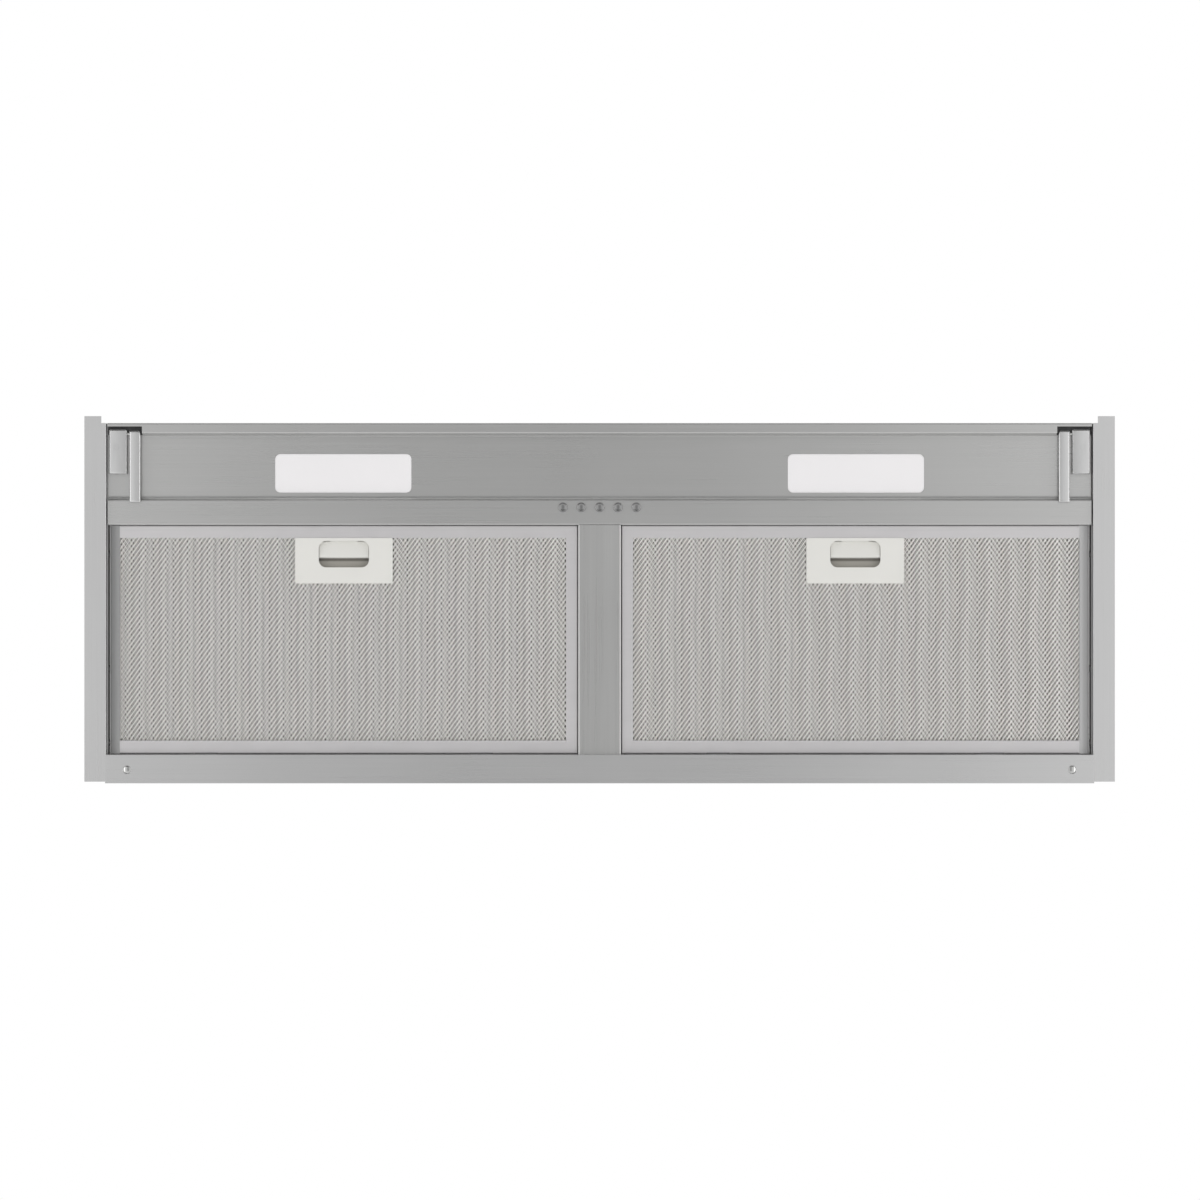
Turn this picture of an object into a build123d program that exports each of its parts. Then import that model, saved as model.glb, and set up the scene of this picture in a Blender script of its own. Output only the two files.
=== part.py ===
"""Range hood insert for a 900 mm wall cabinet, seen from below in use.

Frame: +Z up, X across the width, -Y towards the cook. The origin is the centre
of the underside: the flat of the stainless trim frame lies on z = 0.
All sizes are in millimetres.
"""

import os
from math import cos, radians, sin

from build123d import *

# ---------------------------------------------------------------- driving sizes
body_width = 862.0  # between the cabinet's side panels
side_flange = 18.0  # covers the lower edge of a side panel
overall_depth = 320.0
canopy_height = 90.0
steel = 0.8  # stainless trim sheet
plate = 1.0  # galvanised body sheet
bend = 1.0  # centre line radius of a folded edge
running = 0.05  # radial clearance of a pin or shaft in its hole
loose = 0.3  # clearance of a piece that is laid in place

# trim frame
tab_reach = 6.0  # the side flanges stand this far in front of the body
tab_width = 14.8
frame_wall = 24.0
rear_flange_depth = 25.0
rear_edge_wall = 7.7
frame_bend = 0.56  # outside radius of the frame's folds
side_flange_stop = 1.4  # the side flanges end this far short of the back

# folded front: lip, lamp panel, control strip
lip_depth = 8.6
lip_left_at_hinge = 3.0
step_run = 2.0
lamp_level = 10.0
strip_level = 5.0
strip_depth = 22.0
lap = 3.0
edge_wall_top = 22.0
panel_gap = 1.2
lamp_panel_depth = 55.4

# filters
filter_gap_front = 1.8
filter_gap_rear = 2.7
filter_gap_side = 3.5
filter_gap_divider = 1.0
divider_width = 37.4
divider_flange = 10.0
filter_thick = 9.0
filter_border = 9.3
filter_sheet = 0.8
hook_width = 20.0
hook_reach = 6.0
hook_drop = 2.8
hook_offset = 120.0
hook_thick = 1.2
mesh_sheet = 0.5
core_pitch = 12.0
core_crest = 2.4
core_sheet = 0.6
pocket_under_mesh = 0.2

# filter latch
grip_width = 85.2
grip_depth = 39.7
grip_proud = 0.8
grip_round = 0.8
recess_width = 43.8
recess_depth = 23.1
recess_radius = 6.5
recess_from_edge = 2.5
pocket_wall = 1.4
pocket_side = 7.1
tongue_width = 24.0
tongue_thick = 2.5
tongue_reach = 5.1
tongue_over_face = 3.0
pad_length = 14.0
pad_lip = 1.5
pad_drop = 2.6
pad_slope = 3.1
wing_length = 4.2
wing_gap = 1.0
channel_front = 0.6
channel_end = 1.5
slot_clear = 0.4
latch_spring_radius = 1.0
latch_spring_wire = 0.2
latch_spring_turns = 8

# lamps
lamp_offset = 223.8
lens_width = 119.0
lens_depth = 33.6
lens_radius = 4.7
lens_lip = 3.0
lens_lip_thick = 1.2
lens_to_lap = 0.7  # from the lens's lip to the control strip's lap
lamp_box_height = 20.0
lamp_wall = 1.5
led_board_thick = 1.6
led_count = 6
led_size = 3.5
led_high = 0.5
led_row_margin = 10.0
wire_radius = 2.0
wire_ahead = 5.0  # the lead runs this far in front of the lamp's middle
wire_rise = 14.0
driver_width = 110.0
driver_front = 22.0
driver_rear = 14.0
driver_height = 20.0
bay_height = 36.0  # of the electrics bay over the lamp panel

# push buttons
button_count = 5
button_pitch = 16.0
button_radius = 4.0
button_proud = 1.6
button_shoulder_thick = 2.2
button_front_gap = 2.1  # from the strip's front to a button's shoulder
button_stem = 2.6
button_stem_gap = 0.1
button_shoulder_lip = 0.5  # wider than the hole, so that it stays in
button_round = 0.9
button_travel = 2.5
button_gap = 0.15
block_height = 18.0
block_bore_step = 8.2
block_margin = 8.0
spring_wire = 0.35
spring_turns = 4

# hinges of the front flap
leaf_width = 16.0
leaf_length = 38.7
leaf_from_panel_end = 1.0
leaf_proud = 6.6
leaf_overhang = 2.9  # the leaf's front edge stands out from the lip's step
leaf_thick = 1.2
arm_width = 9.7
arm_over_strip = 2.3
arm_gap = 2.0
arm_thick = 1.2
arm_level = 1.4
arm_flange = 6.0
hinge_pin_radius = 1.5
hinge_ear_front = 0.9
hinge_ear_top = 0.8
hinge_ear_rear = 6.0
leaf_rivet_across = 0.6  # place of the rivet, as parts of the leaf's sides
leaf_rivet_along = 0.4
leaf_rivet_head = 0.5
arm_margin = 1.5  # free space at the middle's side of the arm
arm_end_gap = 0.6
lip_clear = 0.6
hinge_pin_drop = 3.0  # below the lamp panel
hinge_pin_from_front = 3.6
pin_head_radius = 2.1
pin_head = 0.9

# blower
housing_width = 320.0
housing_front = -110.0
housing_rear_gap = 14.3
housing_roof_gap = 6.0
housing_flange = 12.0
blower_hole_side = 40.0  # ledge of the body's top inside the housing
blower_hole_ledge = 15.0
scroll_width = 160.0
scroll_sheet = 1.2
scroll_growth = (6.0, 12.0, 20.0, 30.0)  # over the wheel: top, back, bottom, front
scroll_throat = 75.0
scroll_floor_gap = 8.0
inlet_clear = 0.5
inlet_bell = 7.5
wheel_radius = 60.0
wheel_rim = 11.5
wheel_side_gap = 10.0
wheel_ring = 2.0
blade_count = 30
blade_thick = 1.0
blade_chord = 11.0
blade_tilt = 35.0
hub_radius = 14.0
hub_width = 30.0
shaft_radius = 4.0
motor_radius = 38.0
motor_length = 50.0
motor_arm_width = 12.0
motor_arm_reach = 60.0
motor_arm_thick = 2.5
motor_screw_circle = 54.0
capacitor_radius = 15.0
capacitor_height = 60.0
round_edge = 2.0
shaft_end = 4.0  # the shaft starts this far inside the motor
shaft_proud = 2.0

# duct collar
duct_radius = 75.0
collar_wall = 2.0
collar_height = 45.0
collar_flange = 15.0
ledge_thick = 1.5
ledge_reach = 2.5
damper_height = 12.0  # rod above the housing's top
damper_rod_radius = 1.5
damper_thick = 1.2
damper_gap = 1.5
knuckle_radius = 2.7
knuckle_length = 18.0
knuckle_pitch = 25.0
knuckle_clear = 0.8

# terminal box
box_size = (80.0, 60.0, 30.0)
box_place = (270.0, 60.0)
box_wall = 2.0
foot_reach = 12.0
foot_width = 16.0
gland_radius = 8.0
gland_bore = 5.0
gland_flange = 3.0
gland_length = 18.0
gland_inside = 6.0
gland_flange_reach = 2.5
lid_round = 1.0

# fasteners
screw_radius = 2.0
screw_head_radius = 3.8
screw_head = 2.2
screw_length = 5.5
screw_clear = 0.2
screw_head_round = 0.9
rivet_radius = 1.6
rivet_head_radius = 3.0
rivet_head = 1.0
countersunk_radius = 3.9
countersunk_depth = 2.2
rear_screw_from_side = 19.2
rear_tab_width = 30.0
rear_tab_front = 5.0
rear_screw_behind_middle = 0.5
rear_screw_over_tab = 4.0
rivet_rows = (-120.0, -40.0, 60.0, 125.0)
front_rivets = (-300.0, -100.0, 100.0, 300.0)
cabinet_screw_height = 60.0
cabinet_screw_spacing = 200.0
cabinet_hole_radius = 2.5

# ---------------------------------------------------------------- derived places
half_depth = overall_depth / 2
half_body = body_width / 2
half_width = half_body + side_flange
body_front = -half_depth + tab_reach
opening_rear = half_depth - rear_flange_depth
frame_inner = half_body - steel
shell_half = frame_inner
shell_front = body_front + steel
shell_rear = half_depth - steel
shell_bottom = frame_wall / 2
shell_inner = shell_half - plate
rear_screw_place = half_body - rear_screw_from_side
rear_screw_y = opening_rear + rear_flange_depth / 2 + rear_screw_behind_middle
rear_screw_top = shell_bottom + plate + rear_screw_over_tab
rivet_level = (shell_bottom + frame_wall) / 2
panel_half = frame_inner - panel_gap
lip_rear = body_front + lip_depth
lamp_front = lip_rear + step_run
lamp_rear = lamp_front + lamp_panel_depth
strip_front = lamp_rear + steel
strip_rear = strip_front + strip_depth
filter_front = strip_rear + filter_gap_front
filter_rear = opening_rear - filter_gap_rear
filter_inside = divider_width / 2 + filter_gap_divider
filter_outside = frame_inner - filter_gap_side
filter_centre = (filter_inside + filter_outside) / 2
filter_bottom = rear_edge_wall + loose
filter_top = filter_bottom + filter_thick
tongue_level = filter_bottom + tongue_over_face
grip_front = filter_front + filter_border + loose
grip_rear = grip_front + grip_depth
recess_front = grip_front + recess_from_edge
recess_rear = recess_front + recess_depth
grip_top = filter_bottom + filter_sheet
pocket_top = filter_top - filter_sheet - mesh_sheet - pocket_under_mesh
lap_front = strip_front + steel / 2 - lap
lamp_y = lap_front - lens_to_lap - lens_lip - lens_depth / 2
button_seat = strip_level + steel
button_shoulder = button_seat + button_shoulder_thick
button_shoulder_radius = button_radius + button_shoulder_lip
button_y = strip_front + button_front_gap + button_shoulder_radius
hinge_y = lip_rear - leaf_overhang + hinge_pin_from_front
hinge_pin_level = lamp_level - hinge_pin_drop
wire_level = lamp_level + wire_rise
canopy_top = canopy_height
scroll_top, scroll_back, scroll_bottom, scroll_front = (
    wheel_radius + growth for growth in scroll_growth
)
wheel_inner = wheel_radius - wheel_rim
wheel_width = scroll_width - 2 * wheel_side_gap
inlet_radius = wheel_inner - inlet_clear
blower_z = canopy_top + scroll_floor_gap + scroll_bottom
blower_y = scroll_front - scroll_throat / 2
housing_top = blower_z + scroll_top + housing_roof_gap
housing_rear = blower_y + scroll_back + scroll_sheet + housing_rear_gap
blower_hole_width = housing_width - 2 * blower_hole_side
blower_hole_front = housing_front + blower_hole_ledge
blower_hole_rear = housing_rear - blower_hole_ledge
damper_z = housing_top + damper_height


# ---------------------------------------------------------------- helpers
def block(x0, x1, y0, y1, z0, z1):
    """A box between two corners."""
    size = Box(x1 - x0, y1 - y0, z1 - z0)
    return Pos((x0 + x1) / 2, (y0 + y1) / 2, (z0 + z1) / 2) * size


def rod_x(radius, x0, x1, y, z):
    """A cylinder along X."""
    return Pos((x0 + x1) / 2, y, z) * Rot(0, 90, 0) * Cylinder(radius, abs(x1 - x0))


def rod_y(radius, x, y0, y1, z):
    """A cylinder along Y."""
    return Pos(x, (y0 + y1) / 2, z) * Rot(90, 0, 0) * Cylinder(radius, abs(y1 - y0))


def rod_z(radius, x, y, z0, z1):
    """A cylinder along Z."""
    return Pos(x, y, (z0 + z1) / 2) * Cylinder(radius, z1 - z0)


def folded_across(path, x0, x1, thick=steel):
    """A folded sheet whose centre line in the YZ plane runs along X."""
    section = trace(FilletPolyline(*path, radius=bend), thick)
    return extrude(Plane.YZ.offset(x0) * section, x1 - x0)


def folded_along(path, y0, y1, thick=steel):
    """A folded sheet whose centre line in the XZ plane runs along Y."""
    section = trace(FilletPolyline(*path, radius=bend), thick)
    end = Plane(origin=(0, y1, 0), x_dir=(1, 0, 0), z_dir=(0, -1, 0))
    return extrude(end * section, y1 - y0)


def rounded_bar(width, depth, radius, x, y, z0, z1):
    """An upright bar with a rounded rectangle for its section."""
    return extrude(Pos(x, y, z0) * RectangleRounded(width, depth, radius), z1 - z0)


def mirrored(shape):
    """The same shape on the other side of the middle."""
    return mirror(shape, about=Plane.YZ)


def save(name, *shapes):
    """Writes one sub-part: every solid of the given shapes."""
    solids = [solid for shape in shapes for solid in shape.solids()]
    whole = solids[0] if len(solids) == 1 else Compound(solids)
    export_step(whole, f"parts/{name}.step")


def pan_screw(x, y, z, length=screw_length):
    """A pan head screw that points down, with its head's seat at z."""
    head = Pos(x, y, z) * Cylinder(
        screw_head_radius, screw_head, align=(Align.CENTER, Align.CENTER, Align.MIN)
    )
    head = fillet(head.edges().group_by(Axis.Z)[-1], screw_head_round)
    return head + rod_z(screw_radius, x, y, z - length, z)


# ---------------------------------------------------------------- trim and body
def face_frame():
    """Stainless U frame: side flanges, rear flange and their upturned walls."""
    side_rear = half_depth - side_flange_stop
    side = block(half_body - steel, half_width, body_front, side_rear, 0, steel)
    tab = block(half_width - tab_width, half_width, -half_depth, body_front, 0, steel)
    wall = block(frame_inner, half_body, body_front, half_depth, 0, frame_wall)
    half = side + tab + wall
    rear = block(-half_body, half_body, opening_rear, half_depth, 0, steel)
    back = block(-half_body, half_body, shell_rear, half_depth, 0, frame_wall)
    edge = block(
        -frame_inner, frame_inner, opening_rear, opening_rear + steel, 0, rear_edge_wall
    )
    frame = half + mirrored(half) + rear + back + edge
    for sign in (-1, 1):
        x = sign * rear_screw_place
        cup = rod_z(countersunk_radius + plate, x, rear_screw_y, 0, countersunk_depth)
        frame += cup
        frame -= countersunk_cone(x, rear_screw_y, screw_clear / 2)
        for y in rivet_rows:
            frame -= rod_x(
                rivet_radius + running, sign * shell_inner, sign * half_body * 1.01,
                y, rivet_level,
            )
    bends = [
        edge_line
        for edge_line in frame.edges().filter_by(GeomType.LINE)
        if abs(edge_line.center().Z) < 0.01 and is_inner_bend(edge_line)
    ]
    return fillet(bends, frame_bend)


def is_inner_bend(edge_line):
    """True for the long edges at z = 0 around the inside of the frame."""
    centre = edge_line.center()
    at_side = abs(abs(centre.X) - frame_inner) < 0.01 and edge_line.length > 100
    at_rear = abs(centre.Y - opening_rear) < 0.01 and edge_line.length > 100
    return at_side or at_rear


def countersunk_cone(x, y, clear):
    """The flush screw's head and shank, grown by clear."""
    head = Pos(x, y, countersunk_depth / 2) * Cone(
        countersunk_radius + clear, screw_radius + clear, countersunk_depth
    )
    return head + rod_z(screw_radius + clear, x, y, countersunk_depth, rear_screw_top)


def canopy_shell():
    """Galvanised body: four walls and a top with the hole to the blower."""
    outer = block(
        -shell_half, shell_half, shell_front, shell_rear, shell_bottom, canopy_top
    )
    inner = block(
        -shell_inner, shell_inner, shell_front + plate, shell_rear - plate,
        shell_bottom - 1, canopy_top - plate,
    )
    hole = block(
        -blower_hole_width / 2, blower_hole_width / 2, blower_hole_front,
        blower_hole_rear, canopy_top - 2 * plate, canopy_top + plate,
    )
    shell = outer - inner - hole
    for sign in (-1, 1):
        centre = sign * rear_screw_place
        shell += block(
            centre - rear_tab_width / 2, centre + rear_tab_width / 2,
            rear_screw_y - rear_tab_front, shell_rear, shell_bottom, shell_bottom + plate,
        )
        shell -= rod_z(
            screw_radius + screw_clear, centre, rear_screw_y, 0, rear_screw_top
        )
        for y in rivet_rows:
            shell -= rod_x(
                rivet_radius + running, sign * (shell_inner - 2), sign * half_body,
                y, rivet_level,
            )
        for y in (-cabinet_screw_spacing / 2, cabinet_screw_spacing / 2):
            shell -= rod_x(
                cabinet_hole_radius, sign * (shell_inner - 2), sign * half_body,
                y, cabinet_screw_height,
            )
    for x in front_rivets:
        shell -= rod_y(
            rivet_radius + running, x, body_front, shell_front + 2 * plate, rivet_level
        )
    for x, y in housing_screw_places():
        shell -= rod_z(
            screw_radius + screw_clear, x, y, canopy_top - 5, canopy_top + 5
        )
    for x, y in terminal_foot_places():
        shell -= rod_z(
            screw_radius + screw_clear, x, y, canopy_top - 5, canopy_top + 5
        )
    return shell


def lamp_panel():
    """Folded stainless front: outer wall, lip, step and the lamp panel."""
    path = [
        (body_front + steel / 2, frame_wall),
        (body_front + steel / 2, steel / 2),
        (lip_rear, steel / 2),
        (lamp_front, lamp_level + steel / 2),
        (lamp_rear, lamp_level + steel / 2),
    ]
    panel = folded_across(path, -panel_half, panel_half)
    for sign in (-1, 1):
        inner = sign * (leaf_inside() - arm_gap - arm_width - arm_margin)
        outer = sign * (panel_half + 1)
        panel -= block(
            min(inner, outer), max(inner, outer), body_front + lip_left_at_hinge,
            lamp_front + lip_clear, -1, lamp_level,
        )
        panel -= rounded_bar(
            lens_width + loose, lens_depth + loose, lens_radius,
            sign * lamp_offset, lamp_y, lamp_level - 1, lamp_level + 2,
        )
        panel -= rod_z(
            rivet_radius + running, sign * leaf_screw_x(), leaf_screw_y(), 0, 20
        )
    for x in front_rivets:
        panel -= rod_y(
            rivet_radius + running, x, body_front - 1, shell_front + 1, rivet_level
        )
    return panel


def control_strip():
    """Folded stainless strip that carries the buttons and the latch windows."""
    path = [
        (lap_front, lamp_level + steel * 1.5),
        (strip_front + steel / 2, lamp_level + steel * 1.5),
        (strip_front + steel / 2, strip_level + steel / 2),
        (strip_rear - steel / 2, strip_level + steel / 2),
        (strip_rear - steel / 2, edge_wall_top),
    ]
    strip = folded_across(path, -panel_half, panel_half)
    for x in button_places():
        strip -= rod_z(
            button_radius + button_gap, x, button_y, strip_level - 1, strip_level + 2
        )
    for sign in (-1, 1):
        centre = sign * filter_centre
        strip -= block(
            centre - tongue_width / 2 - slot_clear, centre + tongue_width / 2 + slot_clear,
            strip_rear - 2 * steel, strip_rear + 1,
            tongue_level - slot_clear, tongue_level + tongue_thick + slot_clear,
        )
    return strip


def filter_divider():
    """Hat section between the two filters."""
    side = divider_width / 2 - steel / 2
    path = [
        (-side - divider_flange, edge_wall_top + steel / 2),
        (-side, edge_wall_top + steel / 2),
        (-side, strip_level + steel / 2),
        (side, strip_level + steel / 2),
        (side, edge_wall_top + steel / 2),
        (side + divider_flange, edge_wall_top + steel / 2),
    ]
    return folded_along(path, strip_rear, opening_rear)


def electrics_cover():
    """Inner sheet that closes the lamp and switch bay off from the air."""
    top = lamp_level + bay_height
    path = [
        (strip_rear - steel * 1.5, tongue_level + tongue_thick + slot_clear + 1),
        (strip_rear - steel * 1.5, top + steel / 2),
        (shell_front + plate, top + steel / 2),
    ]
    return folded_across(path, -panel_half, panel_half)


def frame_rivets():
    """Flush rivets that join trim and body, heads on the inside."""
    for sign in (-1, 1):
        for y in rivet_rows:
            yield rod_x(
                rivet_radius, sign * shell_inner, sign * half_body, y, rivet_level
            ) + rod_x(
                rivet_head_radius, sign * (shell_inner - rivet_head),
                sign * shell_inner, y, rivet_level,
            )
    inside = shell_front + plate
    for x in front_rivets:
        yield rod_y(rivet_radius, x, body_front, inside, rivet_level) + rod_y(
            rivet_head_radius, x, inside, inside + rivet_head, rivet_level
        )


# ---------------------------------------------------------------- lamps and buttons
def lamp_pieces(sign):
    """Lens, housing and light board of one lamp."""
    x = sign * lamp_offset
    seat = lamp_level + steel
    lens = rounded_bar(
        lens_width, lens_depth, lens_radius, x, lamp_y, lamp_level, seat
    ) + rounded_bar(
        lens_width + 2 * lens_lip, lens_depth + 2 * lens_lip, lens_radius,
        x, lamp_y, seat, seat + lens_lip_thick,
    )
    half_x = lens_width / 2 + lens_lip + lamp_wall
    half_y = lens_depth / 2 + lens_lip
    top = seat + lamp_box_height
    case = block(
        x - half_x, x + half_x, lamp_y - half_y, lamp_y + half_y, seat + lens_lip_thick, top
    )
    case -= block(
        x - half_x + lamp_wall, x + half_x - lamp_wall,
        lamp_y - half_y + lamp_wall, lamp_y + half_y - lamp_wall,
        seat, top - lamp_wall,
    )
    board_top = top - lamp_wall
    board = block(
        x - half_x + 2 * lamp_wall, x + half_x - 2 * lamp_wall,
        lamp_y - half_y + 2 * lamp_wall, lamp_y + half_y - 2 * lamp_wall,
        board_top - led_board_thick, board_top,
    )
    pitch = (lens_width - 2 * led_row_margin) / (led_count - 1)
    for index in range(led_count):
        led_x = x + (index - (led_count - 1) / 2) * pitch
        board += Pos(led_x, lamp_y, board_top - led_board_thick) * Box(
            led_size, led_size, 2 * led_high
        )
    return lens, case, board


def button_places():
    """X of each push button, left to right."""
    first = -(button_count - 1) / 2 * button_pitch
    return [first + index * button_pitch for index in range(button_count)]


def push_button(x):
    """Round cap, the shoulder that keeps it in, and its stem."""
    face = strip_level - button_proud
    cap = rod_z(button_radius, x, button_y, face, button_seat)
    cap = fillet(cap.edges().group_by(Axis.Z)[0], button_round)
    shoulder = rod_z(
        button_shoulder_radius, x, button_y, button_seat, button_shoulder
    )
    stem_top = button_seat + block_height - button_travel
    return cap + shoulder + rod_z(button_stem, x, button_y, button_shoulder, stem_top)


def switch_block():
    """Body of the five switches, with a stepped bore for each button."""
    half = (button_count - 1) / 2 * button_pitch + button_radius + block_margin
    base = button_seat
    rear = strip_rear - 2 * steel
    front = strip_front + steel / 2 + bend
    body = block(-half, half, front, rear, base, base + block_height)
    for x in button_places():
        body -= rod_z(
            button_shoulder_radius + button_gap, x, button_y, base - 1, base + block_bore_step
        )
        body -= rod_z(
            button_stem + button_stem_gap, x, button_y, base, base + block_height + 1
        )
    return body


def coil_gap(coil, wire, turns):
    """Least free space between the turns of a coil, measured on points along it."""
    steps = 24 * turns
    points = [coil @ (index / steps) for index in range(steps + 1)]
    near = [
        (first - second).length
        for index, first in enumerate(points)
        for second in points[index + 12:]
    ]
    return min(near) - 2 * wire


def coil_spring(length, mean, wire, turns):
    """Open coil along Z whose wire starts at z = 0 and ends at z = length."""
    rise = length - 2 * wire
    coil = Helix(rise / turns, rise, mean)
    print("least gap between turns", round(coil_gap(coil, wire, turns), 3))
    section = Plane(origin=coil @ 0, z_dir=coil % 0) * Circle(wire)
    return Pos(0, 0, wire) * sweep(section, path=coil)


def button_spring(x):
    """Coil between a button's shoulder and the step in its bore."""
    bottom = button_shoulder
    top = button_seat + block_bore_step
    mean = (button_shoulder_radius + button_stem) / 2
    coil = coil_spring(top - bottom, mean, spring_wire, spring_turns)
    return Pos(x, button_y, bottom) * coil


def led_driver():
    """Small power supply that stands on the lamp panel behind its fold."""
    base = lamp_level + steel
    return block(
        -driver_width / 2, driver_width / 2, lamp_y - driver_front, lamp_y + driver_rear,
        base, base + driver_height,
    )


def lamp_wires(sign):
    """Straight lead from the power supply to one lamp."""
    inner = sign * driver_width / 2
    outer = sign * (lamp_offset - lens_width / 2 - lens_lip - lamp_wall)
    return rod_x(wire_radius, inner, outer, lamp_y - wire_ahead, wire_level)


# ---------------------------------------------------------------- front hinges
def leaf_inside():
    """X of the leaf's edge nearest the middle, on the right side."""
    return panel_half - leaf_from_panel_end - leaf_width


def leaf_screw_x():
    """X of the leaf's fixing, on the right side."""
    return leaf_inside() + leaf_width * leaf_rivet_across


def leaf_screw_y():
    """Y of the leaf's fixing."""
    return hinge_y - hinge_pin_from_front + leaf_length * leaf_rivet_along


def hinge_leaf():
    """Fixed leaf on the right: a folded tray whose inner wall holds the pin."""
    x0 = leaf_inside()
    x1 = x0 + leaf_width
    front = hinge_y - hinge_pin_from_front
    rear = front + leaf_length
    low = lamp_level - leaf_proud
    tray = block(x0, x1, front, rear, low, lamp_level)
    tray -= block(
        x0 + leaf_thick, x1 - leaf_thick, front - 1, rear - leaf_thick,
        low + leaf_thick, lamp_level + 1,
    )
    tray -= rod_x(
        hinge_pin_radius + running, x0 - 1, x0 + 2 * leaf_thick, hinge_y, hinge_pin_level
    )
    tray -= block(
        x0 - 1, x1 + 1, front - 1, lamp_front + 2 * lip_clear,
        lamp_level - lip_clear, lamp_level + 1,
    )
    return tray - rod_z(rivet_radius + running, leaf_screw_x(), leaf_screw_y(), 0, 20)


def leaf_rivet():
    """Rivet through the right leaf and the lamp panel."""
    low = lamp_level - leaf_proud
    x = leaf_screw_x()
    y = leaf_screw_y()
    top = lamp_level + steel
    shank = rod_z(rivet_radius, x, y, low, top)
    head = rod_z(pin_head_radius, x, y, low - leaf_rivet_head, low)
    upset = rod_z(rivet_head_radius, x, y, top, top + rivet_head)
    return shank + head + upset


def hinge_arm():
    """Swinging arm on the right: a channel that folds flat under the panel."""
    x1 = leaf_inside() - arm_gap
    x0 = x1 - arm_width
    front = hinge_y - hinge_pin_radius - hinge_ear_front
    rear = strip_front + arm_over_strip
    base = block(x0, x1, front, rear, arm_level, arm_level + arm_thick)
    flange_rear = strip_front - steel - arm_end_gap
    outer = block(x1 - arm_thick, x1, front, flange_rear, arm_level, arm_level + arm_flange)
    inner = block(x0, x0 + arm_thick, front, flange_rear, arm_level, arm_level + arm_flange)
    ear_top = hinge_pin_level + hinge_pin_radius + hinge_ear_top
    ear = block(x1 - arm_thick, x1, front, hinge_y + hinge_ear_rear, arm_level, ear_top)
    end = block(x0, x1, rear - arm_thick, rear, arm_level, strip_level - arm_end_gap)
    arm = base + outer + inner + ear + end
    return arm - rod_x(
        hinge_pin_radius + running, x1 - 2 * arm_thick, x1 + 1, hinge_y, hinge_pin_level
    )


def hinge_pin():
    """Headed pin that joins the right leaf and arm."""
    leaf_face = leaf_inside() + leaf_thick
    arm_face = leaf_inside() - arm_gap - arm_thick - 2 * running
    pin = rod_x(hinge_pin_radius, arm_face, leaf_face, hinge_y, hinge_pin_level)
    pin += rod_x(pin_head_radius, leaf_face, leaf_face + pin_head, hinge_y, hinge_pin_level)
    return pin + rod_x(
        pin_head_radius, arm_face - pin_head, arm_face, hinge_y, hinge_pin_level
    )


# ---------------------------------------------------------------- grease filters
def filter_frame():
    """Aluminium channel frame of the right filter, with its rear hooks."""
    outer = block(
        filter_inside, filter_outside, filter_front, filter_rear, filter_bottom, filter_top
    )
    channel = block(
        filter_inside + filter_sheet, filter_outside - filter_sheet,
        filter_front + filter_sheet, filter_rear - filter_sheet,
        filter_bottom + filter_sheet, filter_top - filter_sheet,
    )
    window = block(
        filter_inside + filter_border, filter_outside - filter_border,
        filter_front + filter_border, filter_rear - filter_border,
        filter_bottom - 1, filter_top + 1,
    )
    frame = outer - channel - window
    tip = opening_rear + hook_reach
    for offset in (-hook_offset, hook_offset):
        x0 = filter_centre + offset - hook_width / 2
        x1 = x0 + hook_width
        frame += block(
            x0, x1, filter_rear, tip, filter_bottom, filter_bottom + hook_thick
        )
        frame += block(
            x0, x1, tip - hook_thick, tip, filter_bottom - hook_drop,
            filter_bottom + hook_thick,
        )
    return frame - block(
        filter_centre - tongue_width / 2 - slot_clear,
        filter_centre + tongue_width / 2 + slot_clear,
        filter_front - 1, filter_front + 2 * filter_sheet,
        tongue_level - slot_clear, tongue_level + tongue_thick + slot_clear,
    )


def filter_mesh(z0, z1):
    """One sheet of mesh that fills the right filter's channel."""
    return block(
        filter_inside + filter_sheet + loose, filter_outside - filter_sheet - loose,
        filter_front + filter_sheet + loose, filter_rear - filter_sheet - loose,
        z0, z1,
    )


def mesh_core(z0, z1):
    """Corrugated sheet between the two flat meshes of the right filter."""
    left = filter_inside + filter_sheet + loose
    right = filter_outside - filter_sheet - loose
    waves = round((right - left) / core_pitch)
    pitch = (right - left) / waves
    lower = []
    for index in range(waves):
        x = left + index * pitch
        lower.append((x, z0))
        lower.append((x + core_crest, z0))
        lower.append((x + pitch / 2, z1 - core_sheet))
        lower.append((x + pitch / 2 + core_crest, z1 - core_sheet))
    lower.append((right, z0))
    upper = [(x, z + core_sheet) for x, z in reversed(lower)]
    face = make_face(Polyline(*lower, *upper, close=True))
    front = filter_front + filter_sheet + loose
    rear = filter_rear - filter_sheet - loose
    end = Plane(origin=(0, rear, 0), x_dir=(1, 0, 0), z_dir=(0, -1, 0))
    return extrude(end * face, rear - front)


def pocket_half():
    """Half width of the latch pocket behind the grip plate."""
    return recess_width / 2 + pocket_side


def filter_meshes():
    """Front, core and back mesh of the right filter."""
    low = filter_bottom + filter_sheet
    high = filter_top - filter_sheet
    pocket = block(
        filter_centre - pocket_half() - loose, filter_centre + pocket_half() + loose,
        recess_front - pocket_wall - loose, recess_rear + pocket_wall + loose,
        low - 1, high - mesh_sheet,
    )
    way = block(
        filter_centre - tongue_width / 2 - slot_clear,
        filter_centre + tongue_width / 2 + slot_clear,
        filter_front, recess_front, low + mesh_sheet, high - mesh_sheet,
    )
    front = filter_mesh(low, low + mesh_sheet) - pocket
    core = mesh_core(low + mesh_sheet, high - mesh_sheet) - pocket - way
    back = filter_mesh(high - mesh_sheet, high)
    return front, core, back


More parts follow.
